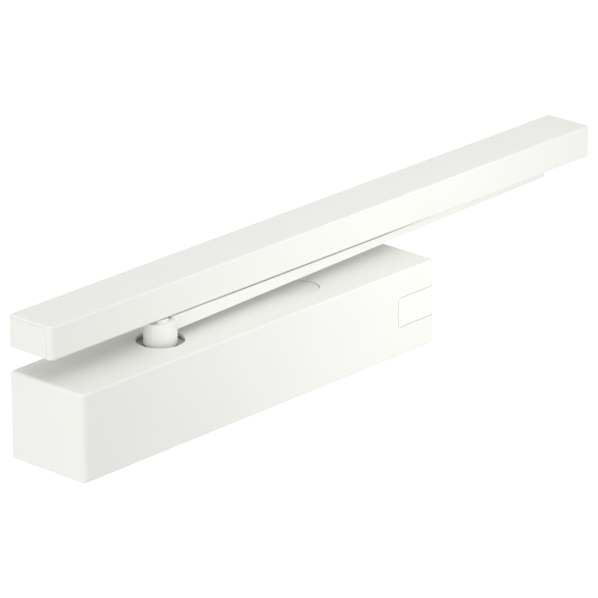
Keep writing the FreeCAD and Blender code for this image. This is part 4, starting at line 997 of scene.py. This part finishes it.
# %% [markdown]
# Two coil springs, one inside the other, push the piston. Round wire is a circle carried
# along a helix by the Screw modifier, and both ends are cut flat by Bisect, as ground ends
# are. The arm shortens a spring from the piston's side and the adjuster from the seat's
# side, so each spring is made as two halves that meet in the middle.

# %% Springs
WIRE_SIDES = 16
COIL_STEPS = 32
SPRINGS = {
    "outer_spring": {"wire": 5.2 * MM, "turns": 10},
    "inner_spring": {"wire": 3.8 * MM, "turns": 12},
}


def coil(name, wire, turns, low, high):
    """Helix of round wire along X that overruns both ends of its box."""
    mean_radius = (high.z - low.z) / 2 - wire / 2
    pitch = (high.x - low.x - wire) / turns
    bpy.ops.object.select_all(action="DESELECT")
    bpy.ops.mesh.primitive_circle_add(vertices=WIRE_SIDES, radius=wire / 2, rotation=(math.pi / 2, 0, 0))
    piece = bpy.context.object
    piece.name = name
    bpy.ops.object.transform_apply(location=True, rotation=True, scale=True)
    bpy.ops.object.mode_set(mode="EDIT")
    bpy.ops.mesh.select_all(action="SELECT")
    bpy.ops.transform.translate(value=(0, 0, mean_radius))
    bpy.ops.object.mode_set(mode="OBJECT")
    use_modifier(piece, "SCREW", axis="X", angle=-math.tau, screw_offset=pitch, iterations=turns + 1,
                 steps=COIL_STEPS, render_steps=COIL_STEPS, use_merge_vertices=True)
    piece.location = (low.x - wire / 2, axis_y, 0)
    bpy.ops.object.transform_apply(location=True, rotation=True, scale=True)
    return piece


def cut_flat(piece, x, keep_right):
    """Cut a coil flat at a place along X and close the cut."""
    only(piece)
    bpy.ops.object.mode_set(mode="EDIT")
    bpy.ops.mesh.select_all(action="SELECT")
    bpy.ops.mesh.bisect(plane_co=(x, 0, 0), plane_no=ALONG, use_fill=True, threshold=MERGE,
                        clear_inner=keep_right, clear_outer=not keep_right)
    bpy.ops.object.mode_set(mode="OBJECT")


for node, spring in SPRINGS.items():
    low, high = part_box(node)
    middle = (low.x + high.x) / 2
    spans = ((low.x, middle, "arm_swing", "carriage_slide"), (middle, high.x, "adjuster_turn", "seat_slide"))
    for side, (first, last, joint, follower) in zip(("piston", "seat"), spans):
        half = coil(node + "_" + side + "_half", spring["wire"], spring["turns"], low, high)
        cut_flat(half, first, True)
        cut_flat(half, last, False)
        seat_piece(half, node)
        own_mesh(half)

# %% [markdown]
# The adjuster is a long screw whose thread draws the spring seat along, two millimetres to
# a turn. A collar behind the end plug takes the thrust, and a hexagon socket takes the key.

# %% Spring adjuster
ADJUSTER_PITCH = 2.0 * MM
ADJUSTER_THREAD_DEPTH = 1.0 * MM
ADJUSTER_RADIUS = 5.0 * MM
ADJUSTER_TIP = 1.2 * MM
ADJUSTER_EDGE = 0.4 * MM
ADJUSTER_KEY_DEPTH = 5.0 * MM
COLLAR_WIDTH = 2.5 * MM
THRUST_GAP = 0.2 * MM

adjuster_low, adjuster_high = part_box("adjuster_screw")
collar_radius = (adjuster_high.z - adjuster_low.z) / 2
collar_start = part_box("spring_seat")[1].x + THRUST_GAP
collar_end = collar_start + COLLAR_WIDTH
bore_axis = (0, axis_y, 0)
thread_first = adjuster_low.x + ADJUSTER_TIP
outline = [(adjuster_low.x, ADJUSTER_RADIUS - ADJUSTER_TIP)]
outline += thread_rows(thread_first, collar_start, ADJUSTER_RADIUS, ADJUSTER_PITCH)
outline += [(collar_start, collar_radius), (collar_end, collar_radius), (collar_end, ADJUSTER_RADIUS),
            (adjuster_high.x, ADJUSTER_RADIUS)]
adjuster = lathe("adjuster_tr10", bore_axis, ALONG, outline)
round_edges(adjuster, ADJUSTER_EDGE, segments=3, test=lambda a, b: min(a.x, b.x) > adjuster_high.x - NEAR)
key = lathe("key_tool", bore_axis, ALONG, [
    (adjuster_high.x - ADJUSTER_KEY_DEPTH, key_corner), (adjuster_high.x + CUT_PAST, key_corner)], sides=6)
combine(adjuster, key, "DIFFERENCE")
cut_thread(adjuster, bore_axis, ALONG, thread_first, collar_start,
           ADJUSTER_RADIUS, ADJUSTER_PITCH, ADJUSTER_THREAD_DEPTH)
seat_piece(adjuster, "adjuster_screw")

# %% [markdown]
# What is left is machined, cast, pressed or moulded to the CAD shape, and only its sharp
# edges are wrong: a real one has them broken with a chamfer, and a seal has them round. A
# copy of the node is merged into one skin, its flat faces are dissolved to single faces, and
# a Bevel breaks the edges. Modelling each from a primitive would give the same forms again.
# The table gives each node the width of its edges in millimetres and the number of segments.

# %% Machined and moulded pieces with broken edges
FLAT_ANGLE = math.radians(1)
BROKEN_EDGES = {
    "mounting_plate": (0.4, 2),
    "closer_housing": (0.4, 2),
    "rail_track": (0.2, 2),
    "cover_clips": (0.15, 2),
    "damper_end_plug": (0.4, 2),
    "spring_end_plug": (0.4, 2),
    "end_plug_seals": (0.7, 4),
    "upper_bearing": (0.4, 2),
    "lower_bearing": (0.4, 2),
    "upper_spindle_seal": (0.4, 3),
    "lower_spindle_seal": (0.4, 3),
    "spindle": (0.4, 2),
    "heart_cam": (0.3, 2),
    "spindle_spacers": (0.25, 2),
    "spring_piston": (0.4, 2),
    "damper_piston": (0.3, 2),
    "damper_piston_ring": (0.2, 2),
    "check_valve": (0.3, 2),
    "tie_rods": (0.3, 2),
    "roller_pins": (0.3, 2),
    "spring_side_roller": (0.4, 2),
    "damper_side_roller": (0.4, 2),
    "spring_seat": (0.4, 2),
    "valve_seals": (0.3, 3),
    "slide_pin": (0.3, 2),
    "closing_speed_valve": (0.2, 2),
    "latching_speed_valve": (0.2, 2),
    "back_check_valve": (0.2, 2),
    "closing_delay_valve": (0.2, 2),
}
for node, (edge_mm, segments) in BROKEN_EDGES.items():
    only(frame["nodes"][node])
    bpy.ops.object.duplicate()
    piece = bpy.context.object
    piece.parent = None
    piece.name = node + "_finished"
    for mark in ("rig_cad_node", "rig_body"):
        del piece[mark]
    bpy.ops.object.mode_set(mode="EDIT")
    bpy.ops.mesh.select_all(action="SELECT")
    bpy.ops.mesh.remove_doubles(threshold=MERGE)
    bpy.ops.mesh.customdata_custom_splitnormals_clear()
    bpy.ops.mesh.dissolve_limited(angle_limit=FLAT_ANGLE)
    bpy.ops.object.mode_set(mode="OBJECT")
    soften(piece, edge_mm * MM, segments)
    seat_piece(piece, node)

# %% [markdown]
# Every CAD node that still shows takes its slot's finish. Then the two boxes, of the CAD
# model and of the dressed one, are written down for comparison, and the frame is checked.

# %% Last finishes
shown = [name for name, node in frame["nodes"].items() if not node.hide_render]
for name in shown:
    for slot in frame["nodes"][name].material_slots:
        slot.material = FINISH[SLOT_OF[name]]
print("CAD nodes still shown", shown)
